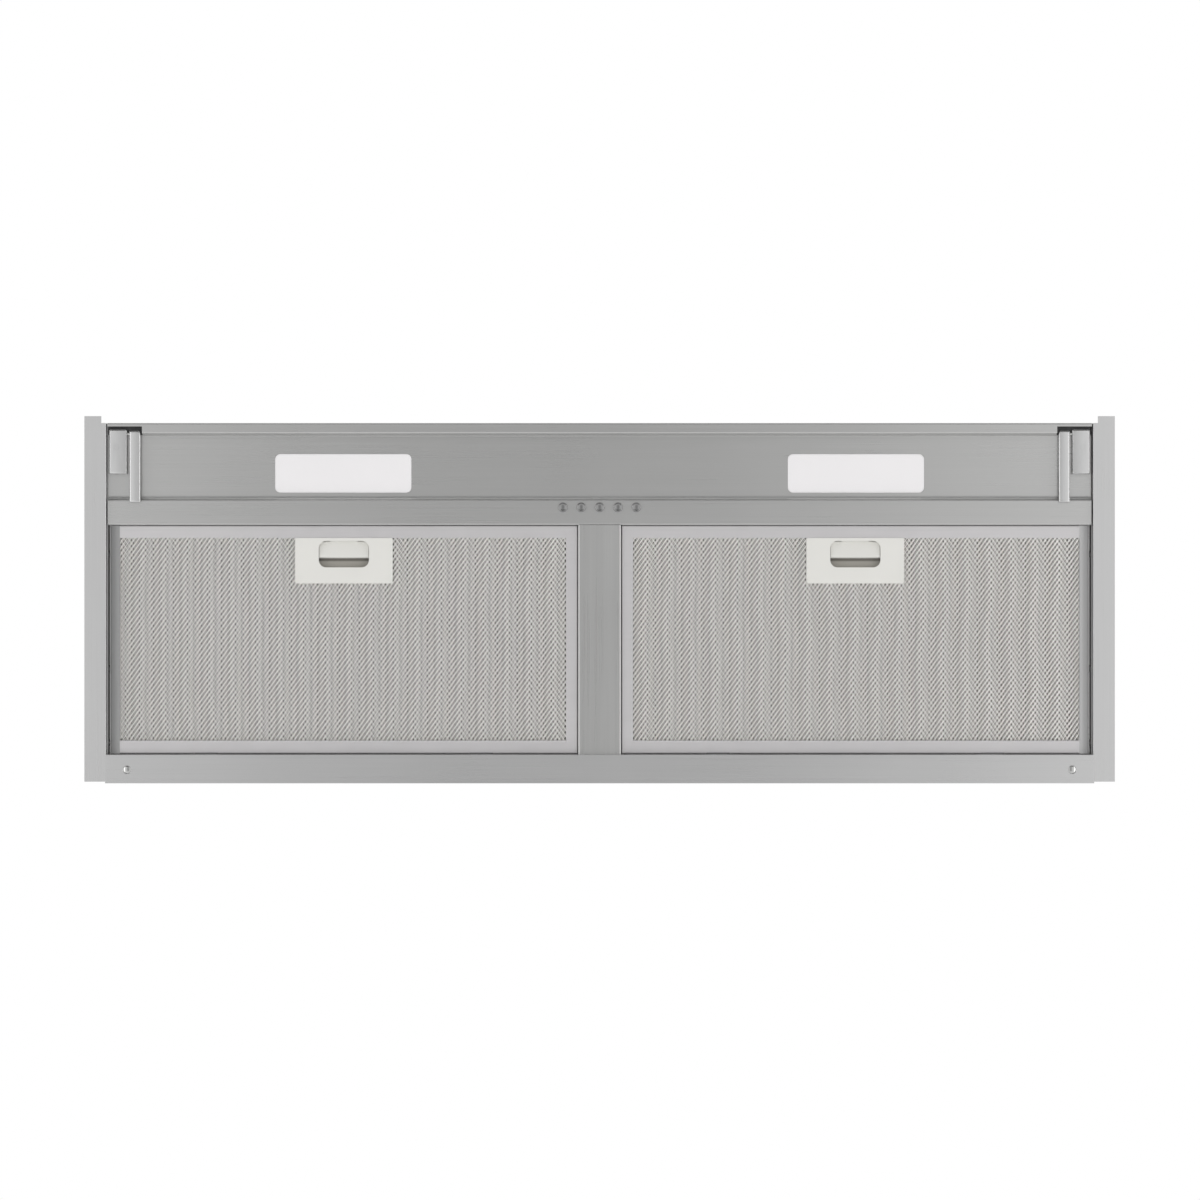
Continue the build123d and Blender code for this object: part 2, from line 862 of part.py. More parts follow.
def latch_housing():
    """Grip plate with the pocket that guides the right filter's latch."""
    face = filter_bottom - grip_proud
    grip_y = (grip_front + grip_rear) / 2
    recess_y = (recess_front + recess_rear) / 2
    grip = rounded_bar(
        grip_width, grip_depth, grip_round, filter_centre, grip_y, face, grip_top
    )
    pocket = block(
        filter_centre - pocket_half(), filter_centre + pocket_half(),
        recess_front - pocket_wall, recess_rear + pocket_wall, grip_top, pocket_top,
    )
    low = tongue_level - slot_clear / 2
    high = tongue_level + tongue_thick + slot_clear / 2
    recess = rounded_bar(
        recess_width, recess_depth, recess_radius, filter_centre, recess_y, face - 1, high
    )
    side = block(
        filter_centre - pocket_half() + pocket_wall,
        filter_centre + pocket_half() - pocket_wall,
        recess_front + channel_front, recess_rear - channel_end, low, high,
    )
    way = block(
        filter_centre - tongue_width / 2 - slot_clear,
        filter_centre + tongue_width / 2 + slot_clear,
        recess_front - 2 * pocket_wall, recess_front + 2 * pocket_wall, low, high,
    )
    return grip + pocket - recess - side - way


def latch_slider():
    """Tongue, finger pad and guide wings of the right filter's latch."""
    tip = filter_front - tongue_reach
    tongue = block(
        filter_centre - tongue_width / 2, filter_centre + tongue_width / 2,
        tip, recess_front + 2 * pocket_wall, tongue_level, tongue_level + tongue_thick,
    )
    wing_front = recess_front + wing_gap
    wing_half = pocket_half() - pocket_wall - slot_clear
    wings = block(
        filter_centre - wing_half, filter_centre + wing_half, wing_front,
        wing_front + wing_length, tongue_level, tongue_level + tongue_thick,
    )
    pad_front = recess_front + slot_clear
    pad_rear = pad_front + pad_length
    top = tongue_level + tongue_thick
    profile = Polyline(
        (pad_front, top),
        (pad_rear, top),
        (pad_rear, tongue_level - pad_drop),
        (pad_rear - pad_lip, tongue_level - pad_drop),
        (pad_front, tongue_level - pad_drop + pad_slope),
        close=True,
    )
    left = filter_centre - recess_width / 2
    wedge = extrude(Plane.YZ.offset(left) * make_face(profile), recess_width)
    room = rounded_bar(
        recess_width - 2 * slot_clear, recess_depth - 2 * slot_clear,
        recess_radius - slot_clear, filter_centre, (recess_front + recess_rear) / 2,
        0, filter_top,
    )
    return tongue + wings + (wedge & room)


def latch_springs():
    """Two coils that push the right filter's latch forward."""
    front = recess_front + wing_gap + wing_length
    rear = recess_rear - channel_end
    offset = (recess_width / 2 + pocket_half() - pocket_wall) / 2
    coil = coil_spring(
        rear - front, latch_spring_radius, latch_spring_wire, latch_spring_turns
    )
    lying = Rot(-90, 0, 0) * coil
    level = tongue_level + tongue_thick / 2
    return [Pos(filter_centre + side * offset, front, level) * lying for side in (-1, 1)]


# ---------------------------------------------------------------- blower
def housing_screw_places():
    """Screws of the motor housing's flange."""
    x = housing_width / 2 + housing_flange / 2
    y_front = housing_front - housing_flange / 2
    y_rear = housing_rear + housing_flange / 2
    middle = (housing_front + housing_rear) / 2
    corners = [(sx * x, y) for sx in (-1, 1) for y in (y_front, middle, y_rear)]
    return corners + [(0, y_front), (0, y_rear)]


def collar_screw_places():
    """Screws of the duct collar's flange."""
    ring = duct_radius + collar_flange / 2
    return [
        (ring * cos(radians(angle)), ring * sin(radians(angle)))
        for angle in (45, 135, 225, 315)
    ]


def motor_housing():
    """Galvanised box over the blower, open below, with the duct hole on top."""
    half = housing_width / 2
    outer = block(-half, half, housing_front, housing_rear, canopy_top, housing_top)
    flange = block(
        -half - housing_flange, half + housing_flange, housing_front - housing_flange,
        housing_rear + housing_flange, canopy_top, canopy_top + plate,
    )
    inner = block(
        -half + plate, half - plate, housing_front + plate, housing_rear - plate,
        canopy_top - 1, housing_top - plate,
    )
    box = outer + flange - inner
    box -= rod_z(
        duct_radius - collar_wall, 0, 0, housing_top - 2 * plate, housing_top + plate
    )
    for x, y in housing_screw_places():
        box -= rod_z(screw_radius + screw_clear, x, y, canopy_top - 5, canopy_top + 5)
    for x, y in collar_screw_places():
        box -= rod_z(screw_radius + screw_clear, x, y, housing_top - 5, housing_top + 5)
    return box


def scroll_face(grow):
    """Spiral outline of the blower casing with its outlet, grown by grow."""
    centre = (blower_y, blower_z)
    top = housing_top - plate
    front = blower_y - scroll_front - grow
    cut_off = blower_y - scroll_front + scroll_throat + grow
    roof = blower_z + scroll_top + grow
    turns = Curve() + [
        EllipticalCenterArc(centre, scroll_back + grow, scroll_top + grow, 0, arc_size=90),
        EllipticalCenterArc(centre, scroll_back + grow, scroll_bottom + grow, 270, arc_size=90),
        EllipticalCenterArc(centre, scroll_front + grow, scroll_bottom + grow, 180, arc_size=90),
        Polyline((front, blower_z), (front, top), (cut_off, top), (cut_off, roof), (blower_y, roof)),
    ]
    return make_face(turns)


def scroll_band():
    """Wall of the spiral casing."""
    wall = scroll_face(scroll_sheet) - scroll_face(0)
    return extrude(Plane.YZ.offset(-scroll_width / 2) * wall, scroll_width)


def scroll_side():
    """Right side plate with its inlet ring."""
    x = scroll_width / 2
    side = extrude(Plane.YZ.offset(x) * scroll_face(scroll_sheet), scroll_sheet)
    bell_inner = inlet_radius - scroll_sheet
    side += rod_x(inlet_radius, x - inlet_bell, x + scroll_sheet, blower_y, blower_z)
    side -= rod_x(bell_inner, x - 2 * inlet_bell, x + 5, blower_y, blower_z)
    for y, z in motor_screw_places():
        side -= rod_x(screw_radius + screw_clear, x - 1, x + 5, y, z)
    return side


def motor_screw_places():
    """Screws of the three motor arms, as Y and Z."""
    return [
        (
            blower_y + motor_screw_circle * cos(radians(angle)),
            blower_z + motor_screw_circle * sin(radians(angle)),
        )
        for angle in (90, 210, 330)
    ]


def fan_hub():
    """Middle disc and hub of the double inlet wheel."""
    disc_radius = wheel_inner - running
    hub = rod_x(disc_radius, -wheel_ring / 2, wheel_ring / 2, blower_y, blower_z)
    hub += rod_x(hub_radius, -hub_width / 2, hub_width / 2, blower_y, blower_z)
    return hub - rod_x(shaft_radius + running, -hub_width, hub_width, blower_y, blower_z)


def fan_wheel():
    """Blades of the double inlet wheel with its end rings and middle ring."""
    half = wheel_width / 2
    wheel = rod_x(wheel_radius, -wheel_ring / 2, wheel_ring / 2, blower_y, blower_z)
    for sign in (-1, 1):
        wheel += rod_x(
            wheel_radius, sign * (half - wheel_ring), sign * half, blower_y, blower_z
        )
    wheel -= rod_x(wheel_inner, -half - 1, half + 1, blower_y, blower_z)
    blade_centre = (wheel_inner + wheel_radius) / 2
    blade = Pos(0, blade_centre, 0) * Rot(blade_tilt, 0, 0) * Box(
        wheel_width - wheel_ring, blade_chord, blade_thick
    )
    middle = Pos(0, blower_y, blower_z)
    blades = [
        middle * Rot(360 / blade_count * index, 0, 0) * blade
        for index in range(blade_count)
    ]
    return wheel + blades


def motor_pieces():
    """Motor body, three-armed bracket and shaft."""
    seat = -scroll_width / 2 - scroll_sheet
    face = seat - motor_arm_thick
    back = face - motor_length
    body = rod_x(motor_radius, back, face, blower_y, blower_z)
    body = fillet(body.edges().group_by(Axis.X)[0], 2 * round_edge)
    body -= rod_x(shaft_radius + running, back - 1, face + 1, blower_y, blower_z)
    bracket = rod_x(motor_radius, face, seat, blower_y, blower_z)
    for angle in (90, 210, 330):
        arm = Pos((face + seat) / 2, blower_y, blower_z) * Rot(angle, 0, 0) * Pos(
            0, motor_arm_reach / 2, 0
        ) * Box(motor_arm_thick, motor_arm_reach, motor_arm_width)
        bracket += arm
    bracket -= rod_x(motor_radius / 2, face - 1, seat + 1, blower_y, blower_z)
    for y, z in motor_screw_places():
        bracket -= rod_x(screw_radius + screw_clear, face - 1, seat + 1, y, z)
    shaft = rod_x(
        shaft_radius, back + shaft_end, hub_width / 2 + shaft_proud, blower_y, blower_z
    )
    return body, bracket, shaft


def motor_capacitor():
    """Run capacitor that stands on the body's top inside the housing."""
    x = (blower_hole_width + housing_width) / 4
    can = rod_z(capacitor_radius, x, 0, canopy_top, canopy_top + capacitor_height)
    return fillet(can.edges().group_by(Axis.Z)[-1], round_edge)


# ---------------------------------------------------------------- duct collar
def duct_collar():
    """Round spigot for the duct, with a ledge that the damper flaps rest on."""
    top = housing_top + collar_height
    inner = duct_radius - collar_wall
    collar = rod_z(duct_radius, 0, 0, housing_top, top)
    collar += rod_z(duct_radius + collar_flange, 0, 0, housing_top, housing_top + collar_wall)
    collar -= rod_z(inner, 0, 0, housing_top - 1, top + 1)
    ledge_top = damper_z - damper_thick / 2 - loose
    ledge = rod_z(duct_radius, 0, 0, ledge_top - ledge_thick, ledge_top)
    collar += ledge - rod_z(inner - ledge_reach, 0, 0, ledge_top - 5, ledge_top + 5)
    collar -= rod_x(
        damper_rod_radius + running, -duct_radius - 1, duct_radius + 1, 0, damper_z
    )
    for x, y in collar_screw_places():
        collar -= rod_z(screw_radius + screw_clear, x, y, housing_top - 1, housing_top + 5)
    return collar


def damper_flap(sign, knuckles):
    """Half disc on the rod; sign is the side in Y, knuckles its hinge places."""
    radius = duct_radius - collar_wall - damper_gap
    low = damper_z - damper_thick / 2
    disc = rod_z(radius, 0, 0, low, low + damper_thick)
    near = knuckle_radius + knuckle_clear
    half = disc & block(
        -radius, radius, min(sign * near, sign * radius), max(sign * near, sign * radius),
        low - 1, low + 3,
    )
    for x in knuckles:
        x0 = x - knuckle_length / 2
        x1 = x + knuckle_length / 2
        half += rod_x(knuckle_radius, x0, x1, 0, damper_z)
        half += block(
            x0, x1, min(0, sign * (near + 1)), max(0, sign * (near + 1)),
            low, low + damper_thick,
        )
    return half - rod_x(damper_rod_radius + running, -radius, radius, 0, damper_z)


def damper_rod():
    """Rod across the collar that both flaps turn on."""
    return rod_x(damper_rod_radius, -duct_radius, duct_radius, 0, damper_z)


# ---------------------------------------------------------------- terminal box
def terminal_foot_places():
    """Screws that hold the terminal box to the body's top."""
    return [
        (box_place[0] + sign * (box_size[0] + foot_reach) / 2, box_place[1])
        for sign in (-1, 1)
    ]


def terminal_box():
    """Junction box with two feet and a hole for the cable gland."""
    x, y = box_place
    half_x, half_y, height = box_size[0] / 2, box_size[1] / 2, box_size[2]
    top = canopy_top + height
    box = block(x - half_x, x + half_x, y - half_y, y + half_y, canopy_top, top)
    box -= block(
        x - half_x + box_wall, x + half_x - box_wall, y - half_y + box_wall,
        y + half_y - box_wall, canopy_top + box_wall, top + 1,
    )
    for foot_x, foot_y in terminal_foot_places():
        box += block(
            min(foot_x - foot_reach / 2, x), max(foot_x + foot_reach / 2, x),
            foot_y - foot_width / 2, foot_y + foot_width / 2,
            canopy_top, canopy_top + box_wall,
        )
        box -= rod_z(
            screw_radius + screw_clear, foot_x, foot_y, canopy_top - 1, canopy_top + 5
        )
    return box - rod_y(
        gland_radius + running, x, y + half_y - 5, y + half_y + 5, canopy_top + height / 2
    )


def terminal_box_cover():
    """Lid of the junction box."""
    x, y = box_place
    top = canopy_top + box_size[2]
    lid = block(
        x - box_size[0] / 2, x + box_size[0] / 2, y - box_size[1] / 2,
        y + box_size[1] / 2, top, top + box_wall,
    )
    return fillet(lid.edges().group_by(Axis.Z)[-1], lid_round)


def cable_gland():
    """Gland for the mains lead in the junction box's rear wall."""
    x, y = box_place
    z = canopy_top + box_size[2] / 2
    wall = y + box_size[1] / 2
    inside = wall - gland_inside
    gland = rod_y(gland_radius, x, inside, inside + gland_length, z)
    gland += rod_y(gland_radius + gland_flange_reach, x, wall, wall + gland_flange, z)
    return gland - rod_y(gland_bore, x, inside - 1, inside + gland_length + 1, z)


def housing_screws():
    """All pan head screws of the housing, collar, terminal box and motor."""
    for x, y in housing_screw_places():
        yield pan_screw(x, y, canopy_top + plate)
    for x, y in collar_screw_places():
        yield pan_screw(x, y, housing_top + collar_wall)
    for x, y in terminal_foot_places():
        yield pan_screw(x, y, canopy_top + box_wall)
    seat = -scroll_width / 2 - scroll_sheet - motor_arm_thick
    for y, z in motor_screw_places():
        yield Pos(seat, y, z) * Rot(0, -90, 0) * pan_screw(0, 0, 0)


def build():
    """Writes every sub-part."""
    os.makedirs("parts", exist_ok=True)
    save("face_frame", face_frame())
    save("canopy_shell", canopy_shell())
    save("lamp_panel", lamp_panel())
    save("control_strip", control_strip())
    save("filter_divider", filter_divider())
    save("electrics_cover", electrics_cover())
    save("frame_rivets", *frame_rivets())
    screws = [countersunk_cone(sign * rear_screw_place, rear_screw_y, 0) for sign in (-1, 1)]
    save("rear_flange_screws", *screws)

    boards = []
    for side, sign in (("left", -1), ("right", 1)):
        lens, case, board = lamp_pieces(sign)
        save(f"lamp_lens_{side}", lens)
        save(f"lamp_housing_{side}", case)
        boards.append(board)
    save("led_boards", *boards)
    save("lamp_wires", lamp_wires(-1), lamp_wires(1))
    save("led_driver", led_driver())
    save("switch_block", switch_block())
    for index, x in enumerate(button_places(), start=1):
        save(f"push_button_{index}", push_button(x))
    save("button_springs", *[button_spring(x) for x in button_places()])

    front, core, back = filter_meshes()
    mirrored_pairs = {
        "hinge_leaf": hinge_leaf(),
        "hinge_arm": hinge_arm(),
        "filter_frame": filter_frame(),
        "filter_mesh_front": front,
        "filter_mesh_core": core,
        "filter_mesh_back": back,
        "latch_housing": latch_housing(),
        "latch_slider": latch_slider(),
    }
    for name, shape in mirrored_pairs.items():
        save(f"{name}_right", shape)
        save(f"{name}_left", mirrored(shape))
    save("latch_springs_right", *latch_springs())
    save("latch_springs_left", *[mirrored(coil) for coil in latch_springs()])
    save("hinge_pins", hinge_pin(), mirrored(hinge_pin()))
    save("hinge_rivets", leaf_rivet(), mirrored(leaf_rivet()))

    save("motor_housing", motor_housing())
    save("scroll_band", scroll_band())
    save("scroll_side_right", scroll_side())
    save("scroll_side_left", mirrored(scroll_side()))
    save("fan_wheel", fan_wheel())
    save("fan_hub", fan_hub())
    body, bracket, shaft = motor_pieces()
    save("motor_body", body)
    save("motor_bracket", bracket)
    save("motor_shaft", shaft)
    save("motor_capacitor", motor_capacitor())
    save("duct_collar", duct_collar())
    save("damper_rod", damper_rod())
    save("damper_flap_front", damper_flap(-1, (-2 * knuckle_pitch, 0, 2 * knuckle_pitch)))
    save("damper_flap_rear", damper_flap(1, (-knuckle_pitch, knuckle_pitch)))
    save("terminal_box", terminal_box())
    save("terminal_box_cover", terminal_box_cover())
    save("cable_gland", cable_gland())
    save("housing_screws", *housing_screws())


build()
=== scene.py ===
import math

import bmesh
import bpy
import numpy as np
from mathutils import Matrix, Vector


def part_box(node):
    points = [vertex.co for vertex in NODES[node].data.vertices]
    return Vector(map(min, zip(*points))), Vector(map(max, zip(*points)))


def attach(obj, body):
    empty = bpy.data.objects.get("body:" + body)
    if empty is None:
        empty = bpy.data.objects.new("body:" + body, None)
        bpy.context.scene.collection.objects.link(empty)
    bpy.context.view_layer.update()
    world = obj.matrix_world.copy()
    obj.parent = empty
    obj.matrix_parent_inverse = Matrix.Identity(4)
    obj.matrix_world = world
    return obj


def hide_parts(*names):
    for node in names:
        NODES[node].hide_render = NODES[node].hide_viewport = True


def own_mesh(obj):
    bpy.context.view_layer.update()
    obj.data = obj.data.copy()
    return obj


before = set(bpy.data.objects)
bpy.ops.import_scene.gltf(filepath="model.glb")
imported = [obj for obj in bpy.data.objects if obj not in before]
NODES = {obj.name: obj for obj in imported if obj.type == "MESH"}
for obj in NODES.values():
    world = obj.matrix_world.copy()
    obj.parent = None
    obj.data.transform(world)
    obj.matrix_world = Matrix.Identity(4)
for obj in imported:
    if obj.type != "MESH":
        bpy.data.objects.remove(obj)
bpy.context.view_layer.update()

MM = 0.001

# --- View, in the frame of the photograph ---------------------------------------------------------
VIEW_WIDTH = 1045.7 * MM      # width of the whole picture in the plane of the rim
VIEW_DISTANCE = 5.0
VIEW_CENTRE = (0.35 * MM, 0.26 * MM)
SENSOR_WIDTH = 36.0
CLIP_END = 100.0

# --- Floor, and the soft shade that the object leaves on it ---------------------------------------
FLOOR_HEIGHT = -6.0
FLOOR_HALF = 30.0
SHADE_DEPTH = 0.10            # how much darker the floor is right under the object
SHADE_ACROSS, SHADE_ALONG = (0.30, 1.55), (1.5, 4.0)

# --- Light ----------------------------------------------------------------------------------------
WORLD_FILL = 0.80             # what matt surfaces get from every side
WHITE = 1.0                   # what the camera and reflections see instead
SIDE_PLACE, SIDE_SIZE, SIDE_POWER = (2.2, 0.1, -1.4), (3.2, 1.2), 15.5
REAR_PLACE, REAR_SIZE, REAR_POWER = (0.0, 2.2, -1.3), (3.0, 0.8), 8.5
TOP_PLACE, TOP_SIZE, TOP_POWER = (0.5, -1.2, 2.4), (2.4, 2.4), 22.0
CENTRE, ABOVE_CENTRE = (0.0, 0.0, 0.0), (0.0, 0.0, 0.1)
# grey card in front: its y, its lower and upper edge and half its width
FLAG_PLACE, FLAG_LOW, FLAG_HIGH, FLAG_HALF_WIDTH = -1.1, -1.5, -0.4, 1.3
# white card under the object
CARD_HEIGHT, CARD_HALF, CARD_MIDDLE = -1.5, 1.6, -0.06
CARD_DEPTH = 0.56             # how much darker than white its middle is
CARD_ACROSS, CARD_ALONG = (0.10, 0.95), (0.5, 1.5)

# --- Brushed sheet --------------------------------------------------------------------------------
FLANGE_START = 429.9 * MM     # outside this x the trim is brushed along y
SIDE_FACING = 0.7             # faces whose normal has more x than this are a box's sides
# painted shade: in front of this y the panel's colour is darkened where the sheet turns up
PANEL_BEND_SHADE, BEND_SHADE_DEPTH = (-153.5 * MM, -152.7 * MM), 0.26

# --- Expanded mesh, as read from the photograph ---------------------------------------------------
MESH_PITCH_Y = 5.16 * MM
FRONT_PITCH_X = 3.49 * MM
SECOND_PITCH_X = 4.23 * MM
BACK_PITCH_X, BACK_PITCH_Y = 7.0 * MM, 10.3 * MM
FRONT_STRAND, SECOND_STRAND, BACK_STRAND = 1.02 * MM, 1.02 * MM, 1.9 * MM
FINE_SHEET, BACK_SHEET = 0.22 * MM, 0.24 * MM
STRAND_TILT = 0.24 * MM
WIDTH_VARIES, LIFT_VARIES = 0.05, 0.04
SECOND_LIFT = 0.15 * MM       # the second sheet over the core's lower face
SHEET_DRIFT = 0.6 * MM        # how unevenly the second sheet was stretched
DRIFT_ALONG, DRIFT_ROW, DRIFT_TURN = 19.0, 0.11, 0.07
SHEET_ASKEW = 0.055 * MM      # strands that rise one way are wider than the others
FOIL_LIFT, FOIL_PITCH, FOIL_THICK = 0.9 * MM, 6.0 * MM, 0.15 * MM

# --- Filters --------------------------------------------------------------------------------------
POCKET_HALF, POCKET_FRONT, POCKET_REAR = 29.2 * MM, 0.9 * MM, 27.2 * MM
FRAME_SHEET, FRAME_LOOSE, FRAME_ROUND = 0.8 * MM, 0.3 * MM, 0.9 * MM
# growth over the CAD frame and width of the borders beside the divider, in front and at the rear
GROW_SIDE, GROW_FRONT, GROW_REAR = 0.4 * MM, 1.35 * MM, 2.1 * MM
BORDER_SIDE, BORDER_FRONT, BORDER_REAR = 10.0 * MM, 11.0 * MM, 11.5 * MM
FRAME_BEAD, FRAME_BEAD_WIDTH = 0.5 * MM, 1.1 * MM
RAIL_BORDER, RAIL_SLOPE = 8.0 * MM, 1.6 * MM  # the rail beside the trim's wall leans away
OUTER_TRIM = 6.5 * MM         # the mesh ends behind the rail
HOOK_OFFSET, HOOK_WIDTH, HOOK_THICK = 120.0 * MM, 20.0 * MM, 1.2 * MM
HOOK_RISE, HOOK_CHAMFER = 0.02 * MM, 0.4

# --- Seat that the filters close against ----------------------------------------------------------
SEAT_GAP, SEAT_THICK, SEAT_COVER = 0.4 * MM, 0.8 * MM, 3.0 * MM
REAR_WALL, SIDE_INSET = 134.9 * MM, 1.8 * MM

# --- Springs --------------------------------------------------------------------------------------
BUTTON_PITCH, BUTTON_TRAVEL, LATCH_TRAVEL = 16.0 * MM, 2.5 * MM, 4.0 * MM

# --- Buttons --------------------------------------------------------------------------------------
BUTTONS = 5
BUTTON_RADIUS, BUTTON_SEAT, BUTTON_SHOULDER, BUTTON_STEM = 4.0 * MM, 2.4 * MM, 2.2 * MM, 2.6 * MM
BUTTON_CHAMFER = 0.1 * MM
DISH_RADIUS, DISH_DEPTH, DISH_STEPS = 3.1 * MM, 0.7 * MM, 8

# --- Rounded folds of brackets, boxes and the moulded terminal box --------------------------------
FOLD_RADIUS, SHEET_FOLD, BOX_FOLD = 1.7 * MM, 1.6 * MM, 1.2 * MM
SHEET_SHORTEST, BOX_SHORTEST = 60.0 * MM, 15.0 * MM
FOLD_ANGLE, FOLD_STEPS = 60.0, 4
WELD, LEVEL = 0.001 * MM, 0.01 * MM

# --- Cove between the lamp panel and the control strip --------------------------------------------
COVE_FRONT, COVE_REAR, COVE_OVER_STRIP = -91.2 * MM, -87.15 * MM, 0.9 * MM
COVE_SHORT, COVE_STEPS = 0.2 * MM, 10

# --- Plate over the notch at each bracket's head, dark as its painted shadow ----------------------
BACKING_INNER, BACKING_OUTER = 398.8 * MM, 428.6 * MM
BACKING_FRONT, BACKING_REAR = -152.6 * MM, -146.5 * MM
BACKING_HEIGHT, BACKING_THICK = 10.3 * MM, 0.8 * MM

# --- Latches --------------------------------------------------------------------------------------
POCKET_DEPTH = 9.6 * MM       # above this level the moulding is inside the pocket
# painted shade: inside the pocket the moulding is coloured darker
POCKET_SHADE_TONE = (0.55, 0.53, 0.50)
POCKET_OPEN = -36.2 * MM      # in front of this the slider fills the pocket
POCKET_EDGE_SHADE = (-34.4 * MM, -33.0 * MM)  # painted shade under the slider's edge
POCKET_EDGE_SHADE_TONE = (0.42, 0.41, 0.40)
TONGUE_START = -60.0 * MM
TONGUE_TONE = (0.50, 0.50, 0.51)

# --- Rear screws: raised heads sunk in the flange -------------------------------------------------
SCREW_HEAD, SCREW_CROWN, SCREW_SHANK = 3.3 * MM, 0.85 * MM, 1.6 * MM
SCREW_SUNK, SCREW_NECK, SCREW_POINT = 0.02 * MM, 2.0 * MM, 0.4 * MM
SCREW_EDGE_IN, SCREW_EDGE_UP, SCREW_STEPS = 0.05 * MM, 0.08 * MM, 8


# ==================================================================================================
# Materials
# ==================================================================================================
def linear(value):
    """One 0-255 screen value as the linear number that Blender works with."""
    value /= 255.0
    return value / 12.92 if value <= 0.04045 else ((value + 0.055) / 1.055) ** 2.4


def colour(r, g=None, b=None):
    """A screen colour as linear RGBA; one number is a grey."""
    g, b = (r if g is None else g), (r if b is None else b)
    return (linear(r), linear(g), linear(b), 1.0)


class Shader:
    """A Principled material and short calls that add nodes to it."""

    def __init__(self, name, rgba, metallic, roughness):
        self.material = bpy.data.materials.new(name)
        self.material.use_nodes = True
        self.tree = self.material.node_tree
        self.bsdf = next(n for n in self.tree.nodes if n.type == "BSDF_PRINCIPLED")
        self.bsdf.inputs["Base Color"].default_value = rgba
        self.bsdf.inputs["Metallic"].default_value = metallic
        self.bsdf.inputs["Roughness"].default_value = roughness
        self.rgba, self.rough = rgba, roughness
        self.place = self.node("ShaderNodeTexCoord").outputs["Object"]

    def node(self, kind, **settings):
        made = self.tree.nodes.new(kind)
        for key, value in settings.items():
            setattr(made, key, value)
        return made

    def join(self, value, socket):
        """Links a socket, or sets a plain value."""
        if isinstance(value, bpy.types.NodeSocket):
            self.tree.links.new(value, socket)
        else:
            socket.default_value = value

    def math(self, operation, *values):
        made = self.node("ShaderNodeMath", operation=operation)
        for value, socket in zip(values, made.inputs):
            self.join(value, socket)
        return made.outputs[0]

    def vector(self, operation, *values):
        made = self.node("ShaderNodeVectorMath", operation=operation)
        for value, socket in zip(values, made.inputs):
            self.join(value, socket)
        return made.outputs[0]

    def split(self, vector):
        made = self.node("ShaderNodeSeparateXYZ")
        self.join(vector, made.inputs[0])
        return made.outputs

    def pick(self, factor, a, b):
        """Vector a where factor is 0 and b where it is 1."""
        made = self.node("ShaderNodeMix", data_type="VECTOR")
        self.join(factor, made.inputs[0])
        self.join(a, made.inputs[4])
        self.join(b, made.inputs[5])
        return made.outputs[1]

    def ramp(self, value, start, end):
        """1 below start, 0 above end, and smooth between them."""
        made = self.node("ShaderNodeMapRange", interpolation_type="SMOOTHSTEP")
        self.join(value, made.inputs["Value"])
        for socket, number in (("From Min", start), ("From Max", end),
                               ("To Min", 1.0), ("To Max", 0.0)):
            made.inputs[socket].default_value = number
        return made.outputs[0]

    def noise(self, vector, scale, detail=2.0, roughness=0.5):
        """Noise about zero; scale is one number, or one for each axis."""
        made = self.node("ShaderNodeTexNoise")
        scales = scale if isinstance(scale, tuple) else (scale,) * 3
        self.join(self.vector("MULTIPLY", vector, scales), made.inputs["Vector"])
        made.inputs["Scale"].default_value = 1.0
        made.inputs["Detail"].default_value = detail
        made.inputs["Roughness"].default_value = roughness
        return self.math("SUBTRACT", made.outputs[0], 0.5)

    def shade(self, *layers):
        """Base colour times one plus the sum of (signal, strength) layers."""
        total = 1.0
        for signal, strength in layers:
            total = self.math("MULTIPLY_ADD", signal, strength, total)
        made = self.node("ShaderNodeVectorMath", operation="SCALE")
        made.inputs[0].default_value = self.rgba[:3]
        self.join(total, made.inputs["Scale"])
        self.join(made.outputs[0], self.bsdf.inputs["Base Color"])

    def roughen(self, *layers):
        """Roughness plus the sum of (signal, strength) layers."""
        total = self.rough
        for signal, strength in layers:
            total = self.math("MULTIPLY_ADD", signal, strength, total)
        self.join(total, self.bsdf.inputs["Roughness"])

    def bump(self, height, depth, strength):
        made = self.node("ShaderNodeBump")
        made.inputs["Strength"].default_value = strength
        made.inputs["Distance"].default_value = depth
        self.join(height, made.inputs["Height"])
        self.join(made.outputs[0], self.bsdf.inputs["Normal"])

    def set(self, **inputs):
        """Sets inputs of the Principled node, with _ for a space, and gives the material."""
        for name, value in inputs.items():
            self.bsdf.inputs[name.replace("_", " ")].default_value = value
        return self.material


def sheet_grain(shader, grain):
    """Coordinates (along, across, across) of a brushed sheet, and how it spreads light."""
    x, y, z = shader.split(shader.place)
    facing = shader.split(shader.node("ShaderNodeTexCoord").outputs["Normal"])
    if grain == "x":
        sideways = 0.0
    elif grain == "y":
        sideways = 1.0
    elif grain == "frame":
        sideways = shader.math("GREATER_THAN", shader.math("ABSOLUTE", x), FLANGE_START)
    else:
        sideways = shader.math("GREATER_THAN", shader.math("ABSOLUTE", facing[0]), SIDE_FACING)
    swapped = shader.node("ShaderNodeCombineXYZ")
    for value, socket in zip((y, x, z), swapped.inputs):
        shader.join(value, socket)
    coordinates = shader.pick(sideways, shader.place, swapped.outputs[0])
    direction = shader.pick(sideways, (0.0, 1.0, 0.0), (1.0, 0.0, 0.0))
    world = shader.node("ShaderNodeVectorTransform", vector_type="VECTOR",
                        convert_from="OBJECT", convert_to="WORLD")
    shader.join(direction, world.inputs[0])
    return coordinates, world.outputs[0]


